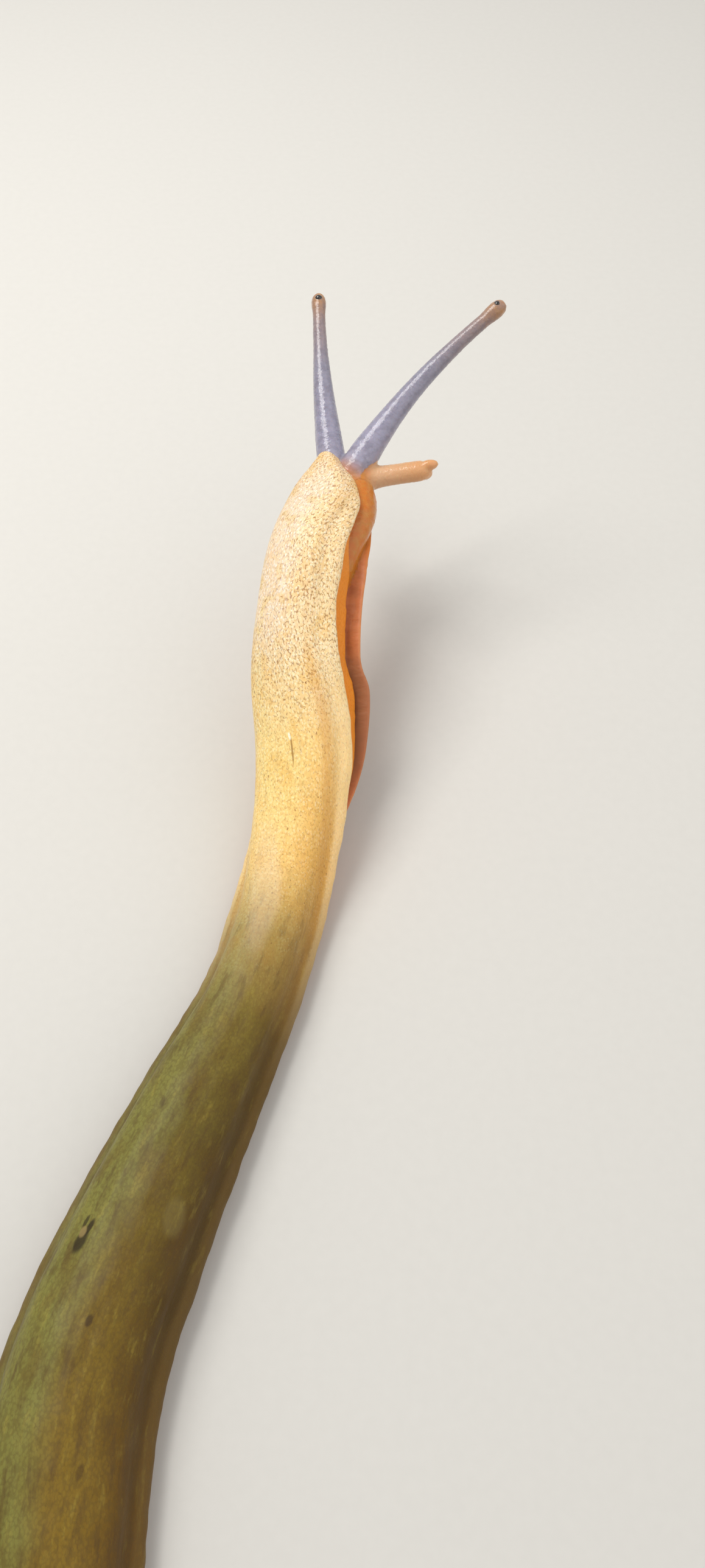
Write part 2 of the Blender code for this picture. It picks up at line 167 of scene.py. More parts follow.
# The head reaches back inside the mantle, so that its flank runs into the foot with no step.
HEAD_HALF = (
    (124, 2.2),
    (127, 3.0),
    (130, 3.7),
    (132, 4.0),
    (135, 4.3),
    (138, 3.75),
    (140, 2.7),
    (141.4, 1.75),
    (142.2, 0.8),
)
HEAD_LOW = ((124, 0.2), (127, -0.9), (130, -1.2), (136, -1.1), (139.5, -0.8), (141.4, -0.3), (142.2, 0.3))
HEAD_HIGH = ((138.8, 2.45), (140.6, 2.4), (141.4, 1.9), (142.2, 1.2))
MANTLE_START = 1.2
FOOT_END = 138.2
FOOT_CLOSE = 6.0  # length over which the front of the foot narrows to its tip
HOLLOW_END = 138.8
HOOD_END = 140.6
HEAD_END = 142.2
BODY_LENGTH = HEAD_END

# Feelers: (right, up, distance) of the root inside the head, world steps to the tip, and the bow.
ROOTS = {
    "upper_left": (-0.25, 1.2, 138.2),
    "upper_right": (0.4, 1.2, 138.2),
    "lower_left": (-1.3, 0.3, 139.0),
    "lower_right": (1.5, 0.8, 139.3),
}
REACH = {
    "upper_left": (-1.9, 20.0, 9.2),
    "upper_right": (16.5, 14.75, 11.5),
    "lower_left": (0.8, 5.2, -3.9),
    "lower_right": (8.0, 0.6, 0.95),
}
BOW = {
    "upper_left": (-0.4, 0.0, 0.3),
    "upper_right": (-0.95, 0.75, 0.25),
    "lower_left": (0.0, 0.0, 0.0),
    "lower_right": (0.0, 0.0, 0.0),
}
RIGHT_RADIUS = (
    (0, 1.5),
    (2.0, 1.62),
    (4.0, 1.58),
    (6.0, 1.41),
    (9.0, 1.17),
    (12.0, 1.0),
    (15.0, 0.88),
    (19.0, 0.74),
    (21.4, 0.71),
    (22.8, 0.84),
    (23.5, 0.78),
    (24.0, 0.44),
)
LEFT_RADIUS = (
    (0, 1.45),
    (3.0, 1.5),
    (6.0, 1.4),
    (9.0, 1.22),
    (12.6, 1.02),
    (18.0, 0.74),
    (21.4, 0.68),
    (22.8, 0.79),
    (23.5, 0.72),
    (24.0, 0.42),
)
LOWER_RADIUS = (
    (0, 1.9),
    (1.0, 1.65),
    (2.0, 1.3),
    (2.8, 1.16),
    (4.6, 1.1),
    (6.0, 1.12),
    (6.8, 0.95),
    (7.3, 0.45),
)
LOWER_FLAT = 0.9
NEAR_RADIUS = 1.1  # skin this close to a thin part of a feeler still belongs to it
EYE_BACK = 1.1  # from the tip of the feeler to the eye
EYE_OUT = 0.6  # from the feeler's middle line to the eye
EYE_UPWARD, EYE_FORWARD = 0.8, 0.6  # shares of the eye's direction
EYE_RADIUS, EYE_DEPTH = 0.4, 0.92  # the eye's radius, and its thickness as a share of its width

# The two lobes of a lower feeler: (up from the middle line, radius, half-length, length past the stem).
LOBES = ((0.6, 0.55, 0.95, 0.8), (-0.35, 0.74, 0.9, 0.15))

# The mouth: two lips and the slit between them, as half-sizes and places (right, ahead, up).
MOUTH_AT = 141.3
LIP = (0.52, 0.75, 0.85)
LIP_PLACE = (0.5, 0.15, 0.45)
SLIT = (0.13, 0.9, 0.62)
SLIT_PLACE = (0.0, 0.1, 1.15)

# The skin's own attributes: how far along and across a point lies, whether it is on the back, which
# part it belongs to, and how far it is out on a feeler. "lie" is (run across, distance) in millimetres.
LAYERS = ("reach", "side", "back", "part", "feeler", "lower", "tip")
MANTLE, FOOT, HEAD = 0.0, 1.0, 2.0


def linear(hex_colour):
    """An sRGB hex colour as linear red, green, blue and full alpha."""
    shares = [int(hex_colour[n : n + 2], 16) / 255 for n in (1, 3, 5)]
    return (*[c / 12.92 if c <= 0.04045 else ((c + 0.055) / 1.055) ** 2.4 for c in shares], 1.0)


def ease(low, high, value):
    """A soft step from 0 at low to 1 at high."""
    share = min(1.0, max(0.0, (value - low) / (high - low)))
    return share * share * (3 - 2 * share)


def mix(a, b, share):
    """The value that lies at a share of the way from a to b."""
    return a + (b - a) * share


def along(table, place):
    """Reads (distance, value) pairs as one smooth curve that never overshoots them."""
    if place <= table[0][0]:
        return float(table[0][1])
    if place >= table[-1][0]:
        return float(table[-1][1])
    runs = [b[0] - a[0] for a, b in zip(table, table[1:])]
    rises = [(b[1] - a[1]) / run for a, b, run in zip(table, table[1:], runs)]

    def slope(i):
        """The curve's slope at pair i: level at a peak or a hollow."""
        if i == 0 or i == len(rises):
            return rises[0] if i == 0 else rises[-1]
        if rises[i - 1] * rises[i] <= 0:
            return 0.0
        return 2 * rises[i - 1] * rises[i] / (rises[i - 1] + rises[i])

    i = max(n for n, (start, _) in enumerate(table[:-1]) if start <= place)
    t = (place - table[i][0]) / runs[i]
    low, high = table[i][1], table[i + 1][1]
    return (
        (1 + 2 * t) * (1 - t) ** 2 * low
        + t * (1 - t) ** 2 * runs[i] * slope(i)
        + t * t * (3 - 2 * t) * high
        - t * t * (1 - t) * runs[i] * slope(i + 1)
    )


def through(points, samples=24):
    """A smooth line through points, as closely spaced vectors."""
    ends = [2 * points[0] - points[1], *points, 2 * points[-1] - points[-2]]
    line = []
    for a, b, c, d in zip(ends, ends[1:], ends[2:], ends[3:]):
        for n in range(samples):
            t = n / samples
            bend = (2 * a - 5 * b + 4 * c - d) * t * t + (3 * b - a - 3 * c + d) * t**3
            line.append(0.5 * (2 * b + (c - a) * t + bend))
    return [*line, points[-1].copy()]


class Route:
    """A line that can be read by the distance along it."""

    def __init__(self, points):
        self.line = through(points)
        self.at = [0.0]
        for a, b in zip(self.line, self.line[1:]):
            self.at.append(self.at[-1] + (b - a).length)
        self.length = self.at[-1]

    def point(self, distance):
        """The point at a distance. Past the end the line runs straight on."""
        if distance >= self.length:
            last = (self.line[-1] - self.line[-2]).normalized()
            return self.line[-1] + last * (distance - self.length)
        i = max(n for n, start in enumerate(self.at[:-1]) if start <= max(distance, 0.0))
        share = (distance - self.at[i]) / (self.at[i + 1] - self.at[i])
        return self.line[i].lerp(self.line[i + 1], share)

    def heading(self, distance, reach=0.5):
        """The line's direction, taken over a short reach to both sides."""
        return (self.point(distance + reach) - self.point(distance - reach)).normalized()


def body_route():
    """The body's path, moved so that the origin lies under the middle of the body."""
    middle = Route([Vector((x, y, 0.0)) for x, y in PATH]).point(ORIGIN_AT)
    return Route([Vector((x, y, 0.0)) - middle for x, y in PATH])


BODY = body_route()


class Section:
    """The frame of the body at one distance: place turns (right, up) into a point."""

    def __init__(self, distance):
        reach = 0.5
        rise = (along(LIFT, distance + reach) - along(LIFT, distance - reach)) / (2 * reach)
        self.forward = (BODY.heading(distance) + Vector((0, 0, rise))).normalized()
        level = self.forward.cross(Vector((0, 0, 1))).normalized()
        upright = level.cross(self.forward)
        roll = math.radians(along(ROLL, distance))
        self.right = level * math.cos(roll) + upright * math.sin(roll)
        self.up = upright * math.cos(roll) - level * math.sin(roll)
        self.core = CORE_SHARE * along(TOP, distance)
        self.centre = BODY.point(distance) + Vector((0, 0, along(LIFT, distance))) + self.core * upright

    def place(self, right, up, ahead=0.0):
        """The point at these steps from the section's foot."""
        return self.centre + self.right * right + self.up * (up - self.core) + self.forward * ahead


def arch(half, low, top, count, power=0.85, shift=0.0):
    """Points over an arch, from its right foot to its left foot, both left out."""
    points = []
    for n in range(1, count + 1):
        angle = math.pi * n / (count + 1)
        side = math.copysign(abs(math.cos(angle)) ** power, math.cos(angle))
        points.append((shift + half * side, low + (top - low) * math.sin(angle) ** power))
    return points


# The neck and the hood have rounder sides, with no shelf between the rim and the back, and the
# hood's right side is wider on the neck and narrower over the head.
PLUMP_FROM = (94.0, 110.0)
ROUND_SIDE = 0.75
RIGHT_SPREAD = ((125, 0), (129, 0.5), (131, 0.5), (134, 0), (136.4, -0.65), (139, -0.5), (140.6, -0.1))

# The hollow beside the foot turns into the thin hood over this stretch.
HOOD_OPENS = (127.0, 134.0)
# The rim lies flatter between the end of the first stretch and the start of the second.
FLAT_RIM, FLAT_SHARE = ((90, 100), (106, 118)), 0.5
# Corners from below the rim up to the foot of the back: inward on a plain side and on a plump one,
# up from the keel, and further up where the rim isn't flat.
RIM = (
    (0.6, 0.6, -0.45, 0.0),
    (0.2, 0.2, -0.32, 0.0),
    (0.0, 0.0, 0.0, 0.0),
    (0.1, 0.1, 0.4, 0.0),
    (0.42, 0.12, 0.72, 0.12),
    (0.85, 0.24, 0.8, 0.4),
    (1.2, 0.38, 0.95, 0.5),
)
FOOT_GAP = 0.12  # between the foot's side and the hollow's wall
FLARE_SHARE = 0.45  # of the foot's flare, by which the hollow is widened
HOOD_WALL = 1.15  # thickness of the hood's sides
HOOD_ROOF = 1.25  # thickness of its top
ROOF_INSET = 0.25  # the hollow's roof is this much narrower than its wall
LIP_UP, LIP_OUT = 0.25, 0.3  # the wall's lower edge turns out over this height and width
MOUTH_HIGH, MOUTH_FLARE, MOUTH_HOOD = 0.5, 0.28, 0.35  # height of the hollow's opening, and its changes
UNDER_SAG, SAG_SHARE = 0.22, 0.6  # the rim's underside is this much hollow, less where the foot flares


def mantle_outline(distance):
    """Corners of the mantle's section on both sides, the arch of its back, and its half-width."""
    half, top, keel = (along(table, distance) for table in (HALF_WIDTH, TOP, KEEL))
    size = min(1.0, half / FULL_HALF)
    shift, flare = along(FOOT_SHIFT, distance), along(FOOT_FLARE, distance)
    hood = ease(*HOOD_OPENS, distance)
    tall = 1 - FLAT_SHARE * ease(*FLAT_RIM[0], distance) * (1 - ease(*FLAT_RIM[1], distance))
    plump = ROUND_SIDE * ease(*PLUMP_FROM, distance)
    *rim, back = (
        (half - mix(plain, rounder, plump) * size, keel + (up + more * tall) * size)
        for plain, rounder, up, more in RIM
    )
    shown = []
    for way, share in ((1, 1.0), (-1, LEFT_FLARE)):
        lean = mix(shift, 0.0, hood)
        beside = along(FOOT_HALF, distance) + FOOT_GAP + FLARE_SHARE * share * flare
        wall = mix(beside, half - HOOD_WALL * size, hood)
        mouth = mix((MOUTH_HIGH - MOUTH_FLARE * share * flare) * size, keel - MOUTH_HOOD * size, hood)
        roof = mix(min(1.0, along(FOOT_TOP, distance) / 2), keel, hood)
        belly = [
            (lean + way * (wall - ROOF_INSET - FLARE_SHARE * share * flare * (1 - hood)), roof),
            (lean + way * wall, mouth + LIP_UP * size),
            (lean + way * (wall + LIP_OUT * size), mouth),
        ]
        middle_r = (belly[-1][0] + way * rim[0][0]) / 2
        sag = UNDER_SAG * size * (1 - SAG_SHARE * share * min(1.0, flare))
        middle_u = (belly[-1][1] + rim[0][1]) / 2 - sag
        shown.append([*belly, (middle_r, middle_u), *[(way * r, u) for r, u in rim]])
    return shown, (*back, top), half


def spread(corners, step_counts):
    """Points along straight runs between corners, each run cut into its own number of steps."""
    points = []
    for a, b, steps in zip(corners, corners[1:], step_counts):
        points.extend((mix(a[0], b[0], n / steps), mix(a[1], b[1], n / steps)) for n in range(steps))
    return [*points, corners[-1]]


def rounded(ring, passes):
    """A closed ring with its corners eased by averaging each point with its neighbours."""
    for _ in range(passes):
        ring = [
            (0.25 * a[0] + 0.5 * b[0] + 0.25 * c[0], 0.25 * a[1] + 0.5 * b[1] + 0.25 * c[1])
            for a, b, c in zip([ring[-1], *ring[:-1]], ring, [*ring[1:], ring[0]])
        ]
    return ring


BACK_COUNT = 73  # points over the back
BELLY_STEPS = (2, 2, 4, 4, 3, 2, 2, 2, 2)  # points along each run from the hollow's roof to the back
BACK_FROM = sum(BELLY_STEPS[:4]) + 3  # the point at which the rim's underside gives way to the back


def mantle_section(distance):
    """The mantle's ring as (right, up) with side, back and lie values for each point."""
    (right, left), (back_half, back_low, top), half = mantle_outline(distance)
    right_side = spread(right, BELLY_STEPS)
    left_side = spread(left, BELLY_STEPS)
    over = arch(back_half, back_low, top, BACK_COUNT)
    ring = rounded([*right_side, *over, *reversed(left_side)], 2)
    spread_share = along(RIGHT_SPREAD, distance) / half
    ring = [(r * (1 + spread_share * ease(0, half, r)), u) for r, u in ring]
    middle = len(right_side) + BACK_COUNT // 2
    lengths = [math.dist(a, b) for a, b in zip(ring, ring[1:])]
    values = []
    for n, (r, _) in enumerate(ring):
        run = sum(lengths[n:middle]) if n < middle else -sum(lengths[middle:n])
        from_end = min(n, len(ring) - 1 - n)
        values.append((max(-1.0, min(1.0, r / half)), ease(BACK_FROM - 2, BACK_FROM + 2, from_end), run))
    return ring, values


# The foot's front tip, as shares of its width and drop, and the height that its top closes to.
TIP_HALF, TIP_DROP, TIP_TOP = 0.35, 0.5, 1.4
SHOULDER = 0.62  # the shoulder's share of the foot's height
WAIST = 0.97  # the top's share of its width
# The side between edge and shoulder: shares of the flare, the edge's height and the shoulder's.
FLANK_FLARE, FLANK_EDGE, FLANK_SHOULDER, FLANK_TOP = 0.3, 0.65, 0.21, 0.6
FOOT_STEPS, SOLE_STEPS, FOOT_ARCH = (2, 7, 5, 3), 12, 7
LEAST_HALF = 0.3  # keeps the share across finite at the tip


def foot_section(distance):
    """The foot's ring: a flat sole, a soft edge that spreads where the front is turned, and a top."""
    half = along(FOOT_HALF, distance)
    top = along(FOOT_TOP, distance)
    shift = along(FOOT_SHIFT, distance)
    close = ease(0.0, FOOT_CLOSE, FOOT_END - distance)
    half, top = half * mix(TIP_HALF, 1.0, close), mix(TIP_TOP, top, close)
    shoulder = SHOULDER * top
    sole = -along(FOOT_DROP, distance) * mix(TIP_DROP, 1.0, close)
    flare = along(FOOT_FLARE, distance) * close
    edge = SOLE_EDGE * min(1.0, half)
    sides = []
    for way, share in ((1, 1.0), (-1, LEFT_FLARE)):
        rim = shift + way * (half + share * flare)
        flank = shift + way * (half + FLANK_FLARE * share * flare)
        sides.append(
            [
                (rim - way * edge, sole),
                (rim, sole + edge),
                (flank, FLANK_EDGE * (sole + edge) + FLANK_SHOULDER * shoulder),
                (shift + way * half, shoulder * FLANK_TOP),
                (shift + way * WAIST * half, shoulder),
            ]
        )
    right, left = sides
    over = arch(half * WAIST, shoulder, top, FOOT_ARCH, 0.75, shift)
    sole_run = spread([left[0], right[0]], (SOLE_STEPS,))[1:-1]
    ring = [*spread(right, FOOT_STEPS), *over, *reversed(spread(left, FOOT_STEPS)), *sole_run]
    ring = rounded(ring, 1)
    floor = min(u for _, u in ring)
    values = [((r - shift) / max(LEAST_HALF, half + flare), u - floor, r) for r, u in ring]
    return ring, values


def grid_loft(rings):
    """A closed skin over equal rings: a grid is laid round them, sewn and capped."""
    count, rows = len(rings[0]), len(rings)
    bm = bmesh.new()
    bmesh.ops.create_grid(bm, x_segments=count, y_segments=rows - 1, size=0.5)
    for vert in bm.verts:
        column = round((vert.co.x + 0.5) * count) % count
        row = round((vert.co.y + 0.5) * (rows - 1))
        vert.index = row * count + column
        vert.co = rings[row][column]
    return bm


def sew(bm):
    """Joins the grid's long edges and closes its two ends."""
    bmesh.ops.remove_doubles(bm, verts=bm.verts, dist=0.00001)
    bmesh.ops.holes_fill(bm, edges=[e for e in bm.edges if e.is_boundary], sides=0)
    bmesh.ops.recalc_face_normals(bm, faces=bm.faces)
    bmesh.ops.triangulate(bm, faces=[f for f in bm.faces if len(f.verts) > 4])
    bm.normal_update()


# Extra rings close to the ends of the forms, as steps from the end, so that the tips stay round. The
# evenly spaced ones begin at TAIL_STEP and HEEL_STEP.
TAIL_RINGS, TAIL_STEP = (0.0, 0.05, 0.15, 0.35, 0.6, 0.85), 1.1
HOOD_RINGS = (0.0, 0.05, 0.15, 0.35, 0.6)
HEEL_RINGS, HEEL_STEP = (0.0, 0.06, 0.18, 0.35), 0.6
FOOT_RINGS = (0.0, 0.1, 0.3, 0.6, 1.0)
HEAD_RINGS = (0.0, 0.06, 0.2, 0.45, 0.8)
FEELER_RINGS = (0.0, 0.06, 0.2, 0.4, 0.7, 1.0)
FOOT_COARSER = 1.5  # the foot's rings are this much further apart than the mantle's
HEAD_STEP, FEELER_STEP = 0.5, 0.35
FEELER_COUNT = 40  # points round a feeler
HEAD_START, TUBE_START = HEAD_HALF[0][0] + 0.2, 0.2


def stations(start, end, step, near):
    """Evenly spaced distances, with the steps named by near before the end."""
    count = max(2, round((end - start) / step))
    places = [start + (end - start) * n / count for n in range(count + 1)]
    return [d for d in places if d < end - near[-1]] + [end - n for n in reversed(near)]


def layers(bm):
    """The skin's attributes on a bmesh, made where they are missing."""
    floats, vectors = bm.verts.layers.float, bm.verts.layers.float_vector
    for name in LAYERS:
        if name not in floats:
            floats.new(name)
    if "lie" not in vectors:
        vectors.new("lie")
    return {name: floats[name] for name in LAYERS}, vectors["lie"]


def mend_marks(bm):
    """Gives the points that a union adds the attributes of a neighbour. Returns those points."""
    marks, lie = layers(bm)
    added = {v for v in bm.verts if v[marks["reach"]] == 0.0 and v[lie].length == 0.0}
    left = set(added)
    while left:
        found = {}
        for vert in left:
            known = [e.other_vert(vert) for e in vert.link_edges if e.other_vert(vert) not in left]
            if known:
                found[vert] = min(known, key=lambda v: v[marks["part"]])
        if not found:
            break
        for vert, source in found.items():
            for layer in marks.values():
                vert[layer] = source[layer]
            vert[lie] = source[lie]
        left.difference_update(found)
    return added


JOIN_RINGS, JOIN_PASSES = 7, 16  # rings of points round the join, and passes that smooth them
BELOW_RIM = 0.2  # points of the mantle with less than this of the back belong to its underside


def soften_join(bm):
    """Eases the creases where the foot and the mantle's underside run into the head."""
    part, back = bm.verts.layers.float["part"], bm.verts.layers.float["back"]
    ring = set()
    for edge in bm.edges:
        kinds = {round(v[part]) for v in edge.verts}
        below = max(v[back] for v in edge.verts) < BELOW_RIM
        if kinds == {FOOT, HEAD} or (kinds == {MANTLE, HEAD} and below):
            ring.update(edge.verts)
    for _ in range(JOIN_RINGS):
        ring |= {e.other_vert(v) for v in ring for e in v.link_edges}
    flesh = [v for v in ring if v[part] > 0.5 or v[back] < BELOW_RIM]
    for _ in range(JOIN_PASSES):
        bmesh.ops.smooth_vert(bm, verts=flesh, factor=0.5, use_axis_x=True, use_axis_y=True, use_axis_z=True)


def form(section, distances, part):
    """A closed form over sections, with its attributes set on every point."""
    frames = [Section(d) for d in distances]
    sections = [section(d) for d in distances]
    rings = [[at.place(r, u) for r, u in ring] for at, (ring, _) in zip(frames, sections)]
    bm = grid_loft(rings)
    count = len(rings[0])
    marks, lie = layers(bm)
    for vert in bm.verts:
        row, column = divmod(vert.index, count)
        side, back, run = sections[row][1][column]
        vert[marks["reach"]] = distances[row] / BODY_LENGTH
        vert[marks["side"]] = side
        vert[marks["back"]] = back
        vert[marks["part"]] = part
        vert[lie] = (run, distances[row], 0.0)
    sew(bm)
    return bm


# Relief as soft noise: (height, length across and length along in millimetres, seed).
SOFT_LUMPS = (0.07, 1.3, 3.2, 1.0)
FINE_LUMPS = (0.03, 0.5, 1.1, 4.0)
LONG_FOLDS = (0.035, 0.9, 9.0, 7.0)
RIM_WAVES = (0.07, 2.0, 1.3, 9.0)
UNDER_FOLDS = (0.06, 1.2, 0.5, 12.0)
FOOT_LUMPS = (0.07, 1.4, 1.8, 3.0)
RIM_FROM = (0.86, 0.98)  # of the half-width
FRONT, FRONT_ENDS = (88, 104), (118, 126)  # where the neck begins, and where its furrow fades again
# The furrow inside the rim: its inner and outer side as shares of the half-width, its depth, the share
# of it that stays off the neck, and the share on the neck's left side.
FURROW_IN, FURROW_OUT, FURROW_DEPTH, FURROW_FLAT, FURROW_LEFT = (0.6, 0.74), (0.76, 0.9), 0.05, 0.25, 0.35
# The pore under the right-hand rim: side and distance, their half-sizes, and depth.
PORE, PORE_SIZE, PORE_DEPTH = (0.72, 74.0), (0.07, 0.45), 0.35
# The foot's rings: height, spacing, waver, and the height above the sole from which they show.
CREASE, CREASE_EVERY, CREASE_WAVER, CREASE_FROM = 0.05, 0.95, 0.25, (0.12, 0.5)


def ripple(run, distance, height, across, length, seed):
    """Soft noise drawn out along the body, about -height to height."""
    return height * noise.noise(Vector((run / across, distance / length, seed)))


def push_out(bm, moves):
    """Moves every point by its own step."""
    for vert, move in zip(bm.verts, moves):
        vert.co += move


def raise_mantle(bm, relief):
    """The mantle's living relief: soft lumps, long ripples, a wavy rim and one pore below."""
    marks, lie = layers(bm)
    bm.normal_update()
    moves = []
    for vert in bm.verts:
        run, distance, _ = vert[lie]
        back, side = vert[marks["back"]], vert[marks["side"]]
        front = ease(*FRONT, distance)
        height = ripple(run, distance, *SOFT_LUMPS) + ripple(run, distance, *FINE_LUMPS)
        height += ripple(run, distance, *LONG_FOLDS) * mix(1.2, 0.6, front)
        edge = abs(side)
        turned = front * (1 - ease(*FRONT_ENDS, distance)) * (1.0 if side > 0 else FURROW_LEFT)
        furrow = back * ease(*FURROW_IN, edge) * (1 - ease(*FURROW_OUT, edge))
        height -= FURROW_DEPTH * furrow * mix(FURROW_FLAT, 1.0, turned)
        height += ease(*RIM_FROM, edge) * ripple(3.0 * side, distance, *RIM_WAVES)
        under = 1 - back
        height += under * ripple(run, distance, *UNDER_FOLDS)
        aside, ahead = (side - PORE[0]) / PORE_SIZE[0], (distance - PORE[1]) / PORE_SIZE[1]
        height -= PORE_DEPTH * under * math.exp(-aside * aside - ahead * ahead)
        moves.append(vert.normal * height * relief)
    push_out(bm, moves)


def raise_foot(bm, relief):
    """Fine rings of creases round the foot's sides, and a flat sole."""
    marks, lie = layers(bm)
    bm.normal_update()
    moves = []
    for vert in bm.verts:
        run, distance, _ = vert[lie]
        shown = ease(*CREASE_FROM, vert[marks["back"]])
        bend = distance + CREASE_WAVER * noise.noise(Vector((run, distance * 0.3, 2.0)))
        height = CREASE * math.sin(math.tau * bend / CREASE_EVERY) + ripple(run, distance, *FOOT_LUMPS)
        moves.append(vert.normal * height * shown * relief)
    push_out(bm, moves)


class Tube:
    """A round feeler along a line in space, with its own table of radii."""

    def __init__(self, name, radii, flat=1.0):
        right, up, distance = ROOTS[name]
        start = Section(distance).place(right, up)
        reach, bow = Vector(REACH[name]), Vector(BOW[name])
        self.route = Route([start + reach * n / 4 + bow * math.sin(math.pi * n / 4) for n in range(5)])
        self.radii = radii
        self.share = radii[-1][0] / self.route.length
        self.flat = flat

    def frame(self, distance):
        """The feeler's directions at a distance: forward, across and upward."""
        forward = self.route.heading(distance, 0.2)
        across = forward.cross(Vector((0, 0, 1))).normalized()
        return forward, across, across.cross(forward)

    def radius(self, distance):
        """The radius at a distance. The table is stretched to the feeler's length."""
        return along(self.radii, distance * self.share)

    def ring(self, distance, count):
        """Points round the feeler at a distance."""
        _, across, upward = self.frame(distance)
        centre, radius = self.route.point(distance), self.radius(distance)
        points = []
        for n in range(count):
            angle = math.tau * n / count
            step = across * math.cos(angle) + upward * self.flat * math.sin(angle)
            points.append(centre + radius * step)
        return points

    def eye(self):
        """The eye's centre and the direction in which it looks."""
        place = self.route.length - EYE_BACK
        forward, _, upward = self.frame(place)
        away = (upward * EYE_UPWARD + forward * EYE_FORWARD).normalized()
        return self.route.point(place) + away * EYE_OUT, away


def tube_form(tube):
    """A closed tube with a rounded tip."""
    places = stations(TUBE_START, tube.route.length, FEELER_STEP, FEELER_RINGS)
    bm = grid_loft([tube.ring(d, FEELER_COUNT) for d in places])
    sew(bm)
    return bm


# The head's side from its underside up, as shares of its half-width and of its shoulder's height.
CHEEK = ((0.45, 0.0), (0.8, 0.12), (0.97, 0.38), (1.0, 0.66))
BROW = (0.93, 0.8)  # shares of its half-width at the shoulder and just above it
CHEEK_STEPS, HEAD_ARCH = (2, 2, 2, 2, 2), 9
CHIN = 0.15  # half-width of the chin, as a share of the head's
# Inside the hood: the room round the head, the stretch over which the hollow closes, the height left
# at its end, and how far the head's shoulder and the foot of its arch lie below the keel.
HEAD_ROOM, HOLLOW_CLOSE, HOLLOW_LEFT, SHOULDER_DROP, ARCH_DROP = 0.4, 3.0, 0.05, 0.95, 0.5
LEAST_NECK = 0.3  # half-width that the head keeps inside the hood
# Past the hood: the shoulder's share of the height, the neck's of the half-width, and the arch's foot.
SNOUT_SHOULDER, SNOUT_NECK, SNOUT_STEP = 0.72, 0.62, 0.12


def head_section(distance):
    """The head's ring: narrow where it fills the hood, wide and soft below it."""
    half, low = along(HEAD_HALF, distance), along(HEAD_LOW, distance)
    hood_half, hood_top, keel = (along(table, min(distance, HOOD_END)) for table in (HALF_WIDTH, TOP, KEEL))
    size = min(1.0, hood_half / FULL_HALF)
    depth = min(1.0, max(0.0, (HOLLOW_END - distance) / HOLLOW_CLOSE))
    roof = keel + HOLLOW_LEFT + depth * (hood_top - HOOD_ROOF * size - keel)
    high = roof - HEAD_ROOM if distance < HOLLOW_END else along(HEAD_HIGH, distance)
    if distance < HOOD_END + HEAD_ROOM:
        neck = max(LEAST_NECK, hood_half - HOOD_WALL * size - HEAD_ROOM)
        shoulder = keel - SHOULDER_DROP
        over = arch(neck, keel - ARCH_DROP, high, HEAD_ARCH)
    else:
        shoulder = low + SNOUT_SHOULDER * (high - low)
        neck = SNOUT_NECK * half
        over = arch(neck, shoulder + SNOUT_STEP * (high - low), high, HEAD_ARCH)
    side = [
        *((across * half, low + up * (shoulder - low)) for across, up in CHEEK),
        (BROW[0] * half, shoulder - 0.02),
        (max(neck + 0.1, BROW[1] * half), shoulder + SNOUT_STEP / 2 * (high - low)),
    ]
    right = spread(side, CHEEK_STEPS)
    left = [(-r, u) for r, u in reversed(right)]
    chin = [(way * CHIN * half, low - 0.02) for way in (-1, 1)]
    ring = rounded([*right, *over, *left, *chin], 1)
    return ring, [(0.0, 0.0, 0.0)] * len(ring)


def ball(centre, radius, stretch, segments=32, rings=20):
    """A ball, stretched and turned by a matrix and then moved to its centre."""
    bm = bmesh.new()
    bmesh.ops.create_uvsphere(bm, u_segments=segments, v_segments=rings, radius=radius)
    bmesh.ops.transform(bm, matrix=stretch, verts=bm.verts)
    bmesh.ops.translate(bm, vec=centre, verts=bm.verts)
    return bm


def lobe_form(tube, aside, radius, half_length, past):
    """One lobe of a forked lower feeler."""
    length = tube.route.length
    forward, _, upward = tube.frame(length)
    turn = forward.to_track_quat("Z", "Y").to_matrix().to_4x4()
    centre = tube.route.point(length + past - half_length) + upward * aside
    return ball(centre, 1.0, turn @ Matrix.Diagonal((radius, radius, half_length, 1.0)), 28, 18)


def as_object(name, bm):
    """A mesh object in millimetres from a bmesh."""
    mesh = bpy.data.meshes.new(name)
    bm.to_mesh(mesh)
    bm.free()
    made = bpy.data.objects.new(name, mesh)
    bpy.context.scene.collection.objects.link(made)
    return made


def apply_all(made):
    """Puts the result of an object's modifiers in its mesh."""
    graph = bpy.context.evaluated_depsgraph_get()
    mesh = bpy.data.meshes.new_from_object(made.evaluated_get(graph))
    made.modifiers.clear()
    made.data = mesh


def united(first, others, operation="UNION"):
    """One closed form from overlapping ones, or one less the others. The others are used up."""
    for other in others:
        modifier = first.modifiers.new(operation.lower(), "BOOLEAN")
        modifier.operation = operation
        modifier.object = other
        modifier.solver = "MANIFOLD"
    apply_all(first)
    for other in others:
        bpy.data.objects.remove(other)
    return first


def tubes():
    """The four feelers by name."""
    return {
        "upper_left": Tube("upper_left", LEFT_RADIUS),
        "upper_right": Tube("upper_right", RIGHT_RADIUS),
        "lower_left": Tube("lower_left", LOWER_RADIUS, LOWER_FLAT),
        "lower_right": Tube("lower_right", LOWER_RADIUS, LOWER_FLAT),
    }


SOFTER = (0.5, 5)  # factor and passes that smooth the fused head


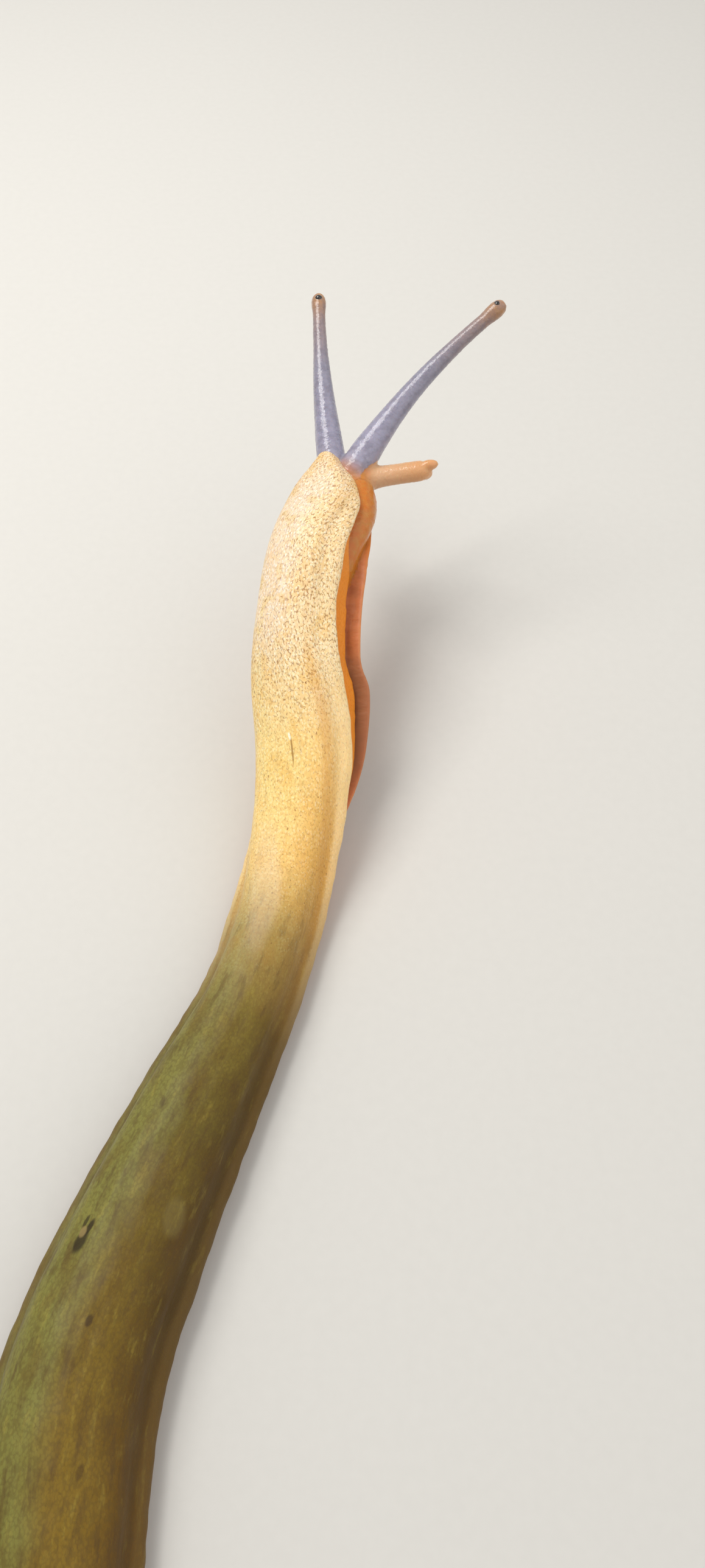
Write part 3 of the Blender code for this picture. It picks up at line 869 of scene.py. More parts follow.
def head_form(voxel, relief):
    """The head and its four feelers, fused on a fine grid and smoothed to soft flesh."""
    feelers = tubes()
    pieces = [form(head_section, stations(HEAD_START, HEAD_END, HEAD_STEP, HEAD_RINGS), HEAD)]
    front = Section(MOUTH_AT)
    turn = Matrix((front.right, front.forward, front.up)).transposed().to_4x4()
    right, up, ahead = LIP_PLACE
    lip = turn @ Matrix.Diagonal((*LIP, 1.0))
    pieces.extend(ball(front.place(way * right, up, ahead), 1.0, lip) for way in (-1, 1))
    for name, tube in feelers.items():
        pieces.append(tube_form(tube))
        if name.startswith("lower"):
            pieces.extend(lobe_form(tube, *lobe) for lobe in LOBES)
    objects = [as_object(f"head form {n}", bm) for n, bm in enumerate(pieces)]
    slit = ball(front.place(*SLIT_PLACE), 1.0, turn @ Matrix.Diagonal((*SLIT, 1.0)))
    head = united(objects[0], objects[1:])
    head = united(head, [as_object("mouth", slit)], "DIFFERENCE")
    remesh = head.modifiers.new("grid", "REMESH")
    remesh.mode = "VOXEL"
    remesh.voxel_size = voxel
    smooth = head.modifiers.new("soft", "SMOOTH")
    smooth.factor, smooth.iterations = SOFTER
    apply_all(head)
    finish_head(head, feelers, relief)
    return head


SAMPLE_STEP = 0.15  # between the points of a feeler's middle line to which the skin is matched
FEELER_SKIN = (1.15, 1.7)  # where a feeler's skin ends, as shares of its radius
GROWN = {"upper": (0.8, 3.4), "lower": (0.8, 2.8)}  # from its root, a feeler takes its own colour here
HEAD_AT, FEELER_AT = 0.97, 1.0  # the reach of their points, as a share of the body's length
# Wrinkles of the head and of the feelers: (height, waves per millimetre), and the feelers' fine rings.
HEAD_WRINKLES = ((0.05, 1.6), (0.02, 4.5))
FEELER_WRINKLE = (0.02, 3.4)
FINE_RING, RING_EVERY, RING_WAVER = 0.008, 0.5, 0.3


def finish_head(head, feelers, relief):
    """Gives the head's points their attributes and its flesh fine wrinkles."""
    samples = []
    for name, tube in feelers.items():
        count = round(tube.route.length / SAMPLE_STEP)
        samples.extend((name, tube, tube.route.length * n / count) for n in range(count + 1))
    tree = kdtree.KDTree(len(samples))
    for n, (name, tube, distance) in enumerate(samples):
        tree.insert(tube.route.point(distance), n)
    tree.balance()
    bm = bmesh.new()
    bm.from_mesh(head.data)
    marks, lie = layers(bm)
    bm.normal_update()
    moves = []
    for vert in bm.verts:
        centre, n, away = tree.find(vert.co)
        name, tube, distance = samples[n]
        near = 1 - ease(*FEELER_SKIN, away / max(NEAR_RADIUS, tube.radius(distance)))
        kind = name.split("_")[0]
        grown = near * ease(*GROWN[kind], distance)
        _, across, upward = tube.frame(distance)
        offset = vert.co - centre
        angle = math.atan2(offset.dot(upward), offset.dot(across))
        vert[marks["reach"]] = mix(HEAD_AT, FEELER_AT, near)
        vert[marks["part"]] = HEAD
        vert[marks["feeler"]] = grown if kind == "upper" else 0.0
        vert[marks["lower"]] = grown if kind == "lower" else 0.0
        vert[marks["tip"]] = distance / tube.route.length
        vert[lie] = (angle * tube.radius(distance), distance, 0.0) if near > 0.5 else vert.co
        wrinkle = sum(height * noise.noise(vert.co * often) for height, often in HEAD_WRINKLES)
        bend = distance + RING_WAVER * noise.noise(vert.co * 2)
        rings = FINE_RING * math.sin(math.tau * bend / RING_EVERY)
        rings += FEELER_WRINKLE[0] * noise.noise(vert.co * FEELER_WRINKLE[1])
        moves.append(vert.normal * relief * mix(wrinkle, rings, grown))
    push_out(bm, moves)
    bm.to_mesh(head.data)
    bm.free()


def add_node(tree, kind, inputs=None, out=0, stops=(), **settings):
    """Adds a shader node, sets it and gives its inputs values or links. Returns the output asked for."""
    node = tree.nodes.new("ShaderNode" + kind)
    for name, value in settings.items():
        setattr(node, name, value)
    if stops:
        ramp = node.color_ramp
        while len(ramp.elements) < len(stops):
            ramp.elements.new(0.5)
        for element, (place, colour) in zip(ramp.elements, stops):
            element.position = place
            element.color = linear(colour)
    for name, value in (inputs or {}).items():
        if isinstance(value, bpy.types.NodeSocket):
            tree.links.new(value, node.inputs[name])
        else:
            node.inputs[name].default_value = linear(value) if isinstance(value, str) else value
    return node.outputs[out]


# Settings that several nodes share: a colour mix, a range with soft ends and two kinds of product.
BLEND = {"out": 2, "data_type": "RGBA"}
SOFT = {"interpolation_type": "SMOOTHSTEP"}
TIMES = {"operation": "MULTIPLY"}
TIMES_PLUS = {"operation": "MULTIPLY_ADD"}


def new_material(name, shader):
    """A material whose Principled shader has its constants, and its functions to add and plug in nodes."""
    material = bpy.data.materials.new(name)
    material.use_nodes = True
    tree = material.node_tree
    principled = tree.nodes["Principled BSDF"]
    for socket, value in shader.items():
        principled.inputs[socket].default_value = value
    return material, partial(add_node, tree), partial(plug, tree, principled)


def plug(tree, principled, **links):
    """Links outputs to the shader's inputs, named with underscores for spaces."""
    for name, output in links.items():
        tree.links.new(output, principled.inputs[name.replace("_", " ")])


def blot(add, lie, centre, half, turn=0.0):
    """A soft oval mask on the skin at (run, distance) in millimetres, turned by degrees."""
    moved = add(
        "Mapping",
        {
            "Vector": lie,
            "Location": (*centre, 0.0),
            "Rotation": (0.0, 0.0, math.radians(turn)),
            "Scale": (*half, 1.0),
        },
        vector_type="TEXTURE",
    )
    far = add("VectorMath", {0: moved}, out="Value", operation="LENGTH")
    return add("MapRange", {0: far, 1: 0.6, 2: 1.15, 3: 1.0, 4: 0.0}, **SOFT)


def skin_data(add, *names):
    """The skin's own attributes by name, and after them where a point lies on it in millimetres."""
    facts = [add("Attribute", out="Fac", attribute_name=name) for name in names]
    return *facts, add("Attribute", out="Vector", attribute_name="lie")


def faded_in(add, ground, fact, start, end, most, colour):
    """The ground under a colour that grows from none at the start of a fact's range to most at its end."""
    share = add("MapRange", {0: fact, 1: start, 2: end, 3: 0.0, 4: most}, **SOFT)
    return add("Mix", {0: share, 6: ground, 7: colour}, **BLEND)


def laid_over(add, ground, mask, front, dim, bright):
    """The ground under a colour, as far as the mask says: a dim copy on the rear and a bright one on the
    front, partly the animal's own change of colour and partly painted shade on the rear and painted sunlight
    on the front.
    """
    colour = add("Mix", {0: front, 6: dim, 7: bright}, **BLEND)
    return add("Mix", {0: mask, 6: ground, 7: colour}, **BLEND)


def stops_along(pairs):
    """Colour stops from (distance in millimetres, hex colour) pairs."""
    return [(distance / BODY_LENGTH, colour) for distance, colour in pairs]


# Colours of the back along its left flank, its middle and its right flank, by distance in millimetres. They
# are partly the animal's own colour and partly painted light and shade: pale on the front as painted
# sunlight, dark on the rear as painted shade, olive on the rear's left flank as painted skylight in that
# shade, and darkest on the rear's right flank as deeper painted shade.
LEFT_LANE = (
    (0, "#625c28"),
    (45, "#777335"),
    (60, "#7a7637"),
    (74, "#7a7637"),
    (84, "#7c7438"),
    (92, "#a4935a"),
    (100, "#f2d088"),
    (110, "#fbe094"),
    (122, "#f0d8a0"),
    (141, "#e6c28e"),
)
MIDDLE_LANE = (
    (0, "#5e4816"),
    (45, "#7b611a"),
    (60, "#6e5817"),
    (74, "#64561c"),
    (84, "#746324"),
    (92, "#a28848"),
    (100, "#f4ca7a"),
    (110, "#fcde92"),
    (120, "#f4dbac"),
    (141, "#eed0a8"),
)
RIGHT_LANE = (
    (0, "#523808"),
    (45, "#604008"),
    (60, "#4f3808"),
    (74, "#50390a"),
    (84, "#5e4510"),
    (92, "#9c7838"),
    (100, "#dda850"),
    (110, "#fad080"),
    (120, "#fae2b4"),
    (141, "#f4d4a4"),
)

# Marks on the back: (run, distance), half-size, turn, colour and strength.
MARKS = (
    ((-2.75, 62.6), (0.55, 1.05), -6.0, "#2c210c", 0.88),
    ((-2.5, 63.75), (0.26, 0.75), -6.0, "#2c210c", 0.88),
    ((-3.05, 64.1), (0.2, 0.6), -6.0, "#2c210c", 0.75),
    ((-2.9, 63.3), (0.34, 0.5), 0.0, "#8a7648", 0.85),
    ((0.4, 57.7), (0.28, 0.5), 0.0, "#33200c", 0.7),
    ((1.2, 111.0), (0.11, 1.5), 2.0, "#8f6226", 0.7),
    # A small painted highlight at the top of the slit.
    ((1.05, 112.3), (0.13, 0.4), 6.0, "#fff6dc", 0.9),
    ((3.3, 66.6), (1.0, 1.7), 12.0, "#b0a468", 0.11),
    ((-1.6, 74.5), (0.2, 0.6), 14.0, "#4a3718", 0.5),
    # A painted sheen of skylight on the wet skin.
    ((-0.9, 97.0), (1.7, 7.5), 4.0, "#e9d9c6", 0.15),
    ((2.2, 48.0), (0.3, 0.6), -12.0, "#402a10", 0.5),
)


def mantle_material(colours):
    """Leathery mantle skin: living hide under a coat of slime.

    It gives the eye an ochre ground in three lengthwise lanes, pale on the front and dark on the rear partly
    as painted sunlight and shade, crowded pale granules, thin brown outlines broken into curls, fine brown
    specks, a painted pinkish sheen on the neck, and a soft wet sheen that breaks up on them.
    """
    material, add, plug_in = new_material(
        "mantle_hide_granular_slimy",
        {
            "IOR": 1.4,
            "Subsurface Weight": 0.2,
            "Subsurface Radius": (1.0, 0.5, 0.2),
            "Subsurface Scale": 0.0008,
            "Coat Weight": 0.12,
            "Coat Roughness": 0.28,
            "Coat IOR": 1.36,
            "Specular IOR Level": 0.26,
        },
    )
    reach, side, back, lie = skin_data(add, "reach", "side", "back")
    spot = add("TexCoord", out="Object")
    spot_mm = add("VectorMath", {0: spot, "Scale": 1 / MM}, operation="SCALE")
    # front also picks, in every laid-over colour, the bright copy on the front over the dim copy on the rear:
    # partly painted sunlight and painted shade.
    front = add("MapRange", {0: reach, 1: 0.56, 2: 0.75}, **SOFT)

    # Lanes along the back, with borders that wander a little. The far left flank is ochre again.
    wander = add("TexNoise", {"Vector": spot_mm, "Scale": 0.22, "Detail": 3.0}, out="Fac")
    drift = add("Math", {0: wander, 1: 0.5}, operation="SUBTRACT")
    place = add("Math", {0: drift, 1: 0.55, 2: side}, **TIMES_PLUS)
    left, middle, right = (
        add("ValToRGB", {0: reach}, stops=stops_along(lane))
        for lane in (LEFT_LANE, MIDDLE_LANE, RIGHT_LANE)
    )
    ground = middle
    for start, end, lane in ((-1.06, -0.9, left), (-0.4, 0.15, middle), (0.25, 0.85, right)):
        ground = faded_in(add, ground, place, start, end, 1.0, lane)

    # Cloudy patches of deeper gold, a few millimetres long.
    cloud_at = add("Mapping", {"Vector": lie, "Scale": (1.0, 0.45, 1.0)})
    cloud = add("TexNoise", {"Vector": cloud_at, "Scale": 0.5, "Detail": 4.0}, out="Fac")
    share = add("MapRange", {0: cloud, 1: 0.46, 2: 0.7, 3: 0.0, 4: 0.5}, **SOFT)
    ground = laid_over(add, ground, share, front, "#5f4512", "#eebc5c")

    # Streaks drawn out along the body, strongest on the dim rear.
    drawn_out = add("Mapping", {"Vector": lie, "Scale": (1.0, 0.22, 1.0)})
    streak = add("TexNoise", {"Vector": drawn_out, "Scale": 1.3, "Detail": 5.0, "Roughness": 0.62}, out="Fac")
    rear = add("MapRange", {0: reach, 1: 0.6, 2: 0.72, 3: 1.0, 4: 0.25}, **SOFT)
    for start, end, most, colour in ((0.5, 0.68, 0.5, (*colours.streak, 1.0)), (0.46, 0.3, 0.24, "#a8963e")):
        share = add("MapRange", {0: streak, 1: start, 2: end, 3: 0.0, 4: most}, **SOFT)
        share = add("Math", {0: share, 1: rear}, **TIMES)
        ground = add("Mix", {0: share, 6: ground, 7: colour}, **BLEND)

    # Pale granules in cells 0.23 mm wide and 0.32 mm long, in a net of darker skin.
    warp = add("TexNoise", {"Vector": spot_mm, "Scale": 2.2, "Detail": 2.0}, out="Color")
    bent = add("VectorMath", {0: warp, 1: (0.35, 0.35, 0.35), 2: lie}, **TIMES_PLUS)
    cells_at = add("Mapping", {"Vector": bent, "Scale": (1.0, 0.72, 1.0)})
    cell = add("TexVoronoi", {"Vector": cells_at, "Scale": 1 / 0.23}, out="Distance")
    granule = add("MapRange", {0: cell, 1: 0.5, 2: 0.2}, **SOFT)
    patch = add("TexNoise", {"Vector": lie, "Scale": 0.55, "Detail": 4.0}, out="Fac")
    crowd = add("MapRange", {0: patch, 1: 0.36, 2: 0.6, 3: 0.3, 4: 1.0}, **SOFT)
    pale = add("Math", {0: granule, 1: crowd}, **TIMES)
    neck = add("MapRange", {0: reach, 1: 0.78, 2: 0.85, 3: 0.45, 4: 1.0}, **SOFT)
    share = add("Math", {0: front, 1: 0.5, 2: 0.08}, **TIMES_PLUS)
    for weaker in (pale, neck):
        share = add("Math", {0: share, 1: weaker}, **TIMES)
    ground = laid_over(add, ground, share, front, "#a8963f", (*colours.granule, 1.0))
    net = add("MapRange", {0: cell, 1: 0.4, 2: 0.7, 3: 0.0, 4: 0.3}, **SOFT)
    ground = laid_over(add, ground, net, front, "#54421a", "#e2b166")

    # Thin brown outlines round the granules, broken into short curls, strongest on the neck.
    outline_at = add("Mapping", {"Vector": bent, "Scale": (1.1, 0.5, 1.0)})
    outline = add(
        "TexVoronoi",
        {"Vector": outline_at, "Scale": 1 / 0.27},
        out="Distance",
        feature="DISTANCE_TO_EDGE",
    )
    gap_at = add("Mapping", {"Vector": lie, "Location": (31.0, 17.0, 0.0), "Scale": (1.0, 0.7, 1.0)})
    gaps = add("TexNoise", {"Vector": gap_at, "Scale": 4.4, "Detail": 2.0}, out="Fac")
    gaps = add("MapRange", {0: gaps, 1: 0.47, 2: 0.57}, **SOFT)
    curl = add("MapRange", {0: outline, 1: 0.13, 2: 0.04, 3: 0.0, 4: 0.8}, **SOFT)
    curl = add("Math", {0: curl, 1: gaps}, **TIMES)
    rear_share = add("Math", {0: front, 1: 0.75, 2: 0.25}, **TIMES_PLUS)
    share = add("Math", {0: neck, 1: rear_share}, **TIMES)
    curl = add("Math", {0: curl, 1: share}, **TIMES)
    ground = laid_over(add, ground, curl, front, "#3e2d12", "#a06c34")

    # Brown specks, about 0.15 mm wide and 0.3 mm long.
    specks_at = add("Mapping", {"Vector": bent, "Location": (7.0, 3.0, 0.0), "Scale": (1.5, 0.8, 1.0)})
    speck = add("TexVoronoi", {"Vector": specks_at, "Scale": 1.7}, out="Distance")
    speck = add("MapRange", {0: speck, 1: 0.2, 2: 0.09, 3: 0.0, 4: 0.7}, **SOFT)
    speck = add("Math", {0: speck, 1: rear_share}, **TIMES)
    lone = add("MapRange", {0: patch, 1: 0.66, 2: 0.42, 3: 0.35, 4: 1.0}, **SOFT)
    speck = add("Math", {0: speck, 1: lone}, **TIMES)
    ground = laid_over(add, ground, speck, front, "#38290f", "#936026")

    # A painted pinkish-white sheen on the neck, standing for the glint of light on the wet skin, broken up by
    # the granules.
    painted_sheen = add("MapRange", {0: side, 1: -0.72, 2: -0.4}, **SOFT)
    ends = ((side, 0.9, 0.3), (reach, 0.83, 0.88), (reach, 0.99, 0.94), (patch, 0.34, 0.48))
    for socket, start, end in ends:
        share = add("MapRange", {0: socket, 1: start, 2: end}, **SOFT)
        painted_sheen = add("Math", {0: painted_sheen, 1: share}, **TIMES)
    share = add("Math", {0: granule, 1: 0.36, 2: 0.26}, **TIMES_PLUS)
    painted_sheen = add("Math", {0: painted_sheen, 1: share}, **TIMES)
    ground = add("Mix", {0: painted_sheen, 6: ground, 7: "#fdf0ea"}, **BLEND)

    # Marks of this animal: a dark forked blotch with an olive centre, spots, a fine slit on the neck and a
    # pale patch on the back. Among them are also a small painted highlight at the top of the slit and a pale
    # painted sheen of skylight on the wet skin where the neck begins.
    for centre, half, turn, colour, strength in MARKS:
        mask = add("Math", {0: blot(add, lie, centre, half, turn), 1: strength}, **TIMES)
        ground = add("Mix", {0: mask, 6: ground, 7: colour}, **BLEND)

    # The rim: a bead, cream on the front, with a darker furrow inside it, painted shade in the groove that
    # the relief cuts there. Both fade on the hood.
    edge = add("Math", {0: side}, operation="ABSOLUTE")
    furrow = add("MapRange", {0: edge, 1: 0.7, 2: 0.8, 3: 0.0, 4: 0.4}, **SOFT)
    inner = add("MapRange", {0: edge, 1: 0.9, 2: 0.82}, **SOFT)
    furrow = add("Math", {0: furrow, 1: inner}, **TIMES)
    share = add("MapRange", {0: reach, 1: 0.86, 2: 0.8, 3: 0.2, 4: 1.0}, **SOFT)
    furrow = add("Math", {0: furrow, 1: share}, **TIMES)
    ground = laid_over(add, ground, furrow, front, "#4c3812", "#cf9244")
    bead = add("MapRange", {0: edge, 1: 0.84, 2: 0.92, 3: 0.0, 4: 0.5}, **SOFT)
    bead = add("Math", {0: bead, 1: share}, **TIMES)
    ground = laid_over(add, ground, bead, front, "#6a5226", "#fddfaa")

    # The underside of the mantle is plain orange flesh, brightened on the front as painted sunlight and
    # darkened on the rear as painted shade.
    share = add("MapRange", {0: back, 1: 0.75, 2: 0.25}, **SOFT)
    ground = laid_over(add, ground, share, front, "#855426", (*colours.under, 1.0))

    # Relief: granules stand up, specks and lines are pits, and the whole is faintly wrinkled.
    wrinkle = add(
        "TexNoise", {"Vector": drawn_out, "Scale": 3.4, "Detail": 6.0, "Roughness": 0.65}, out="Fac"
    )
    height = granule
    for weaker in (neck, rear_share, 0.35):
        height = add("Math", {0: height, 1: weaker}, **TIMES)
    for form_mask, strength in ((wrinkle, 0.8), (curl, -0.5), (speck, -0.5)):
        height = add("Math", {0: form_mask, 1: strength, 2: height}, **TIMES_PLUS)
    bump = add("Bump", {"Strength": 0.6, "Distance": 0.0001, "Height": height})
    gloss = add("MapRange", {0: patch, 1: 0.3, 2: 0.7, 3: 0.66, 4: 0.54}, **SOFT)
    gloss = add("Math", {0: front, 1: -0.2, 2: gloss}, **TIMES_PLUS)
    plug_in(Base_Color=ground, Normal=bump, Roughness=gloss)
    return material


def foot_material(colours):
    """Soft foot flesh: moist muscle that light soaks into.

    It gives the eye a red-brown salmon with a paler lip and fine cross creases, and runs into the
    orange of the head at its front.
    """
    material, add, plug_in = new_material(
        "foot_flesh_moist",
        {
            "IOR": 1.4,
            "Subsurface Weight": 0.4,
            "Subsurface Radius": (1.0, 0.45, 0.25),
            "Subsurface Scale": 0.0014,
            "Coat Weight": 0.12,
            "Coat Roughness": 0.3,
            "Coat IOR": 1.36,
        },
    )
    reach, height_mm, lie = skin_data(add, "reach", "back")
    mottle = add("TexNoise", {"Vector": lie, "Scale": 0.9, "Detail": 4.0}, out="Fac")
    flesh = faded_in(add, (*colours.foot, 1.0), mottle, 0.35, 0.65, 1.0, "#c2703a")
    flesh = faded_in(add, flesh, height_mm, 1.1, 0.2, 0.5, "#dc9a68")
    lobe = add("MapRange", {0: reach, 1: 0.745, 2: 0.79, 3: 0.0, 4: 0.75}, **SOFT)
    share = add("MapRange", {0: reach, 1: 0.86, 2: 0.835}, **SOFT)
    lobe = add("Math", {0: lobe, 1: share}, **TIMES)
    flesh = add("Mix", {0: lobe, 6: flesh, 7: "#946342"}, **BLEND)
    flesh = faded_in(add, flesh, reach, 0.905, 0.945, 1.0, (*colours.head, 1.0))
    creased = add("Mapping", {"Vector": lie, "Scale": (0.35, 1.0, 1.0)})
    crease = add("TexNoise", {"Vector": creased, "Scale": 2.6, "Detail": 4.0}, out="Fac")
    bump = add("Bump", {"Strength": 0.5, "Distance": 0.00012, "Height": crease})
    gloss = add("MapRange", {0: crease, 1: 0.3, 2: 0.7, 3: 0.42, 4: 0.56}, **SOFT)
    plug_in(Base_Color=flesh, Normal=bump, Roughness=gloss)
    return material


STALK = (
    (0.0, "#a39fb2"),
    (0.25, "#9a97ac"),
    (0.6, "#8c8999"),
    (0.86, "#94807c"),
    (0.95, "#a87f5c"),
    (1.0, "#b98a5a"),
)


def head_material(colours):
    """Head and feeler flesh: wet and translucent.

    It gives the eye an orange head, peach lower feelers, and grey-lilac eye feelers with a warm
    bulb at each tip, all with sharp wet glints on their fine rings.
    """
    material, add, plug_in = new_material(
        "head_flesh_wet",
        {
            "IOR": 1.4,
            "Subsurface Weight": 0.4,
            "Subsurface Radius": (1.0, 0.5, 0.3),
            "Subsurface Scale": 0.001,
            "Coat Weight": 0.8,
            "Coat Roughness": 0.06,
            "Coat IOR": 1.36,
        },
    )
    feeler, lower, tip, lie = skin_data(add, "feeler", "lower", "tip")
    spot = add("TexCoord", out="Object")
    spot_mm = add("VectorMath", {0: spot, "Scale": 1 / MM}, operation="SCALE")
    mottle = add("TexNoise", {"Vector": spot_mm, "Scale": 1.3, "Detail": 4.0}, out="Fac")
    flesh = faded_in(add, (*colours.head, 1.0), mottle, 0.35, 0.65, 1.0, "#be7a28")
    stalk = add("ValToRGB", {0: tip}, stops=STALK)
    stalk = faded_in(add, stalk, mottle, 0.4, 0.7, 0.4, "#6b6676")
    peach = faded_in(add, (*colours.peach, 1.0), tip, 0.3, 1.0, 1.0, "#d39c68")
    for mask, skin in ((feeler, stalk), (lower, peach)):
        flesh = add("Mix", {0: mask, 6: flesh, 7: skin}, **BLEND)
    ring_at = add("Mapping", {"Vector": lie, "Scale": (0.6, 1.0, 1.0)})
    rings = add("TexNoise", {"Vector": ring_at, "Scale": 3.4, "Detail": 3.0}, out="Fac")
    bump = add("Bump", {"Strength": 0.6, "Distance": 0.00015, "Height": rings})
    slime = add("Bump", {"Strength": 0.2, "Distance": 0.00015, "Height": rings})
    gloss = add("MapRange", {0: feeler, 1: 0.0, 2: 1.0, 3: 0.42, 4: 0.24}, **SOFT)
    plug_in(Base_Color=flesh, Normal=bump, Coat_Normal=slime, Roughness=gloss)
    return material


def eye_material():
    """The eye's dark cup under its clear cornea: near black and very glossy."""
    return new_material(
        "eye_dark_clear_cornea",
        {
            "Base Color": linear("#100c0b"),
            "IOR": 1.38,
            "Roughness": 0.08,
            "Coat Weight": 1.0,
            "Coat Roughness": 0.03,
        },
    )[0]


def floor_material(colour):
    """Matt studio card: pale and plain, with the faintest tooth, about 1 mm."""
    material, add, plug_in = new_material("studio_card_matt", {"Roughness": 0.85, "Specular IOR Level": 0.2})
    spot = add("TexCoord", out="Object")
    tooth = add("TexNoise", {"Vector": spot, "Scale": 1 / MM, "Detail": 2.0}, out="Fac")
    shade = (*[c * 0.96 for c in colour], 1.0)
    plug_in(Base_Color=add("Mix", {0: tooth, 6: (*colour, 1.0), 7: shade}, **BLEND))
    return material


def tint(name, description, colour):
    """A colour setting whose default is an sRGB hex colour."""
    return bpy.props.FloatVectorProperty(
        name=name, description=description, default=linear(colour)[:3], size=3, subtype="COLOR"
    )


class SlugSkinSettings(bpy.types.PropertyGroup):
    """Sizes and colours of the skin."""

    step: bpy.props.FloatProperty(
        name="Ring step",
        description="Distance between the skin's rings in millimetres",
        default=0.36,
        min=0.2,
        max=2.0,
    )
    relief: bpy.props.FloatProperty(
        name="Relief", description="Strength of the folds", default=1.0, min=0.0, max=3.0, subtype="FACTOR"
    )
    voxel: bpy.props.FloatProperty(
        name="Head grid", description="Grid size of the fused head in mm", default=0.155, min=0.08, max=0.5
    )
    granule: tint("Granules", "Colour of the pale granules on the front", "#fff6dc")
    streak: tint("Streaks", "Colour of the dark streaks on the rear", "#50391a")
    under: tint("Underside", "Colour of the mantle's underside", "#e88c28")
    foot: tint("Foot", "Colour of the foot", "#ac5c29")
    head: tint("Head", "Colour of the head's flesh", "#c26e14")
    peach: tint("Lower feelers", "Colour of the lower feelers", "#d3a880")


class SlugStudioSettings(bpy.types.PropertyGroup):
    """Floor, light and camera."""

    floor: tint("Floor", "Colour of the floor", "#d3d1cc")
    key: bpy.props.FloatProperty(
        name="Key light", description="Power of the large soft light", default=0.7, min=0.0, unit="POWER"
    )
    fill: bpy.props.FloatProperty(
        name="Fill light", description="Strength of the broad light on the other side", default=0.8, min=0.0
    )
    room: bpy.props.FloatProperty(
        name="Room light", description="Strength of the even light all round", default=0.55, min=0.0
    )


class SLUG_OT_skin(bpy.types.Operator):
    """Builds the one skin that stands for all of the slug's flesh"""

    bl_idname = "slug.skin"
    bl_label = "Build Skin"
    bl_options = {"REGISTER", "UNDO"}

    def execute(self, context):
        settings = context.scene.slug_skin
        tail = [MANTLE_START + n for n in TAIL_RINGS]
        places = stations(MANTLE_START + TAIL_STEP, HOOD_END, settings.step, HOOD_RINGS)
        mantle = form(mantle_section, [*tail, *places], MANTLE)
        raise_mantle(mantle, settings.relief)
        places = stations(HEEL_STEP, FOOT_END, settings.step * FOOT_COARSER, FOOT_RINGS)
        foot = form(foot_section, [*HEEL_RINGS, *places], FOOT)
        raise_foot(foot, settings.relief)
        skin = as_object("slug_skin", mantle)
        head = head_form(settings.voxel, settings.relief)
        united(skin, [as_object("foot form", foot), head])
        skin.data.materials.clear()
        for material in (mantle_material(settings), foot_material(settings), head_material(settings)):
            skin.data.materials.append(material)
        bm = bmesh.new()
        bm.from_mesh(skin.data)
        part = bm.verts.layers.float["part"]
        added = mend_marks(bm)
        for face in bm.faces:
            own = [v[part] for v in face.verts if v not in added] or [v[part] for v in face.verts]
            face.material_index = round(sum(own) / len(own))
            face.smooth = True
        soften_join(bm)
        bmesh.ops.scale(bm, vec=(MM, MM, MM), verts=bm.verts)
        bm.to_mesh(skin.data)
        bm.free()
        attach(skin, "root")
        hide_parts(*[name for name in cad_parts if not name.startswith("eye")])
        return {"FINISHED"}


class SLUG_OT_eyes(bpy.types.Operator):
    """Builds the two eyes near the tips of the long feelers"""

    bl_idname = "slug.eyes"
    bl_label = "Build Eyes"
    bl_options = {"REGISTER", "UNDO"}

    def execute(self, context):
        feelers = tubes()
        material = eye_material()
        for side in ("left", "right"):
            centre, away = feelers[f"upper_{side}"].eye()
            turned = away.to_track_quat("Z", "Y").to_matrix().to_4x4()
            bm = ball(centre, EYE_RADIUS, turned @ Matrix.Diagonal((1.0, 1.0, EYE_DEPTH, 1.0)), 48, 32)
            bmesh.ops.scale(bm, vec=(MM, MM, MM), verts=bm.verts)
            for face in bm.faces:
                face.smooth = True
            eye = as_object(f"eye_lens_{side}", bm)
            eye.data.materials.append(material)
            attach(eye, "root")
            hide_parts(f"eye_{side}")
        return {"FINISHED"}


# The stage in metres: half the floor's side, the point the lights aim at, and the lights' places.
FLOOR_HALF = 3.0
AIM = Vector((0.008, 0.03, 0.005))
KEY_AT, KEY_SIZE, KEY_COLOUR = Vector((-0.11, 0.13, 0.28)), 0.16, (1.0, 0.98, 0.945)
FILL_AT, FILL_ANGLE, FILL_COLOUR = Vector((0.3, -0.06, 0.26)), math.radians(80), (1.0, 0.985, 0.96)
ROOM_COLOUR = (1.0, 0.99, 0.975, 1.0)
# The camera: its place in millimetres, its tilt up from looking straight down, and its lens.
CAMERA_AT = Vector((14.984, -31.340, 101.0))
CAMERA_TILT = math.radians(90 - 55)
LENS, SENSOR, CLIP_START = 28.0, 36.0, 0.001


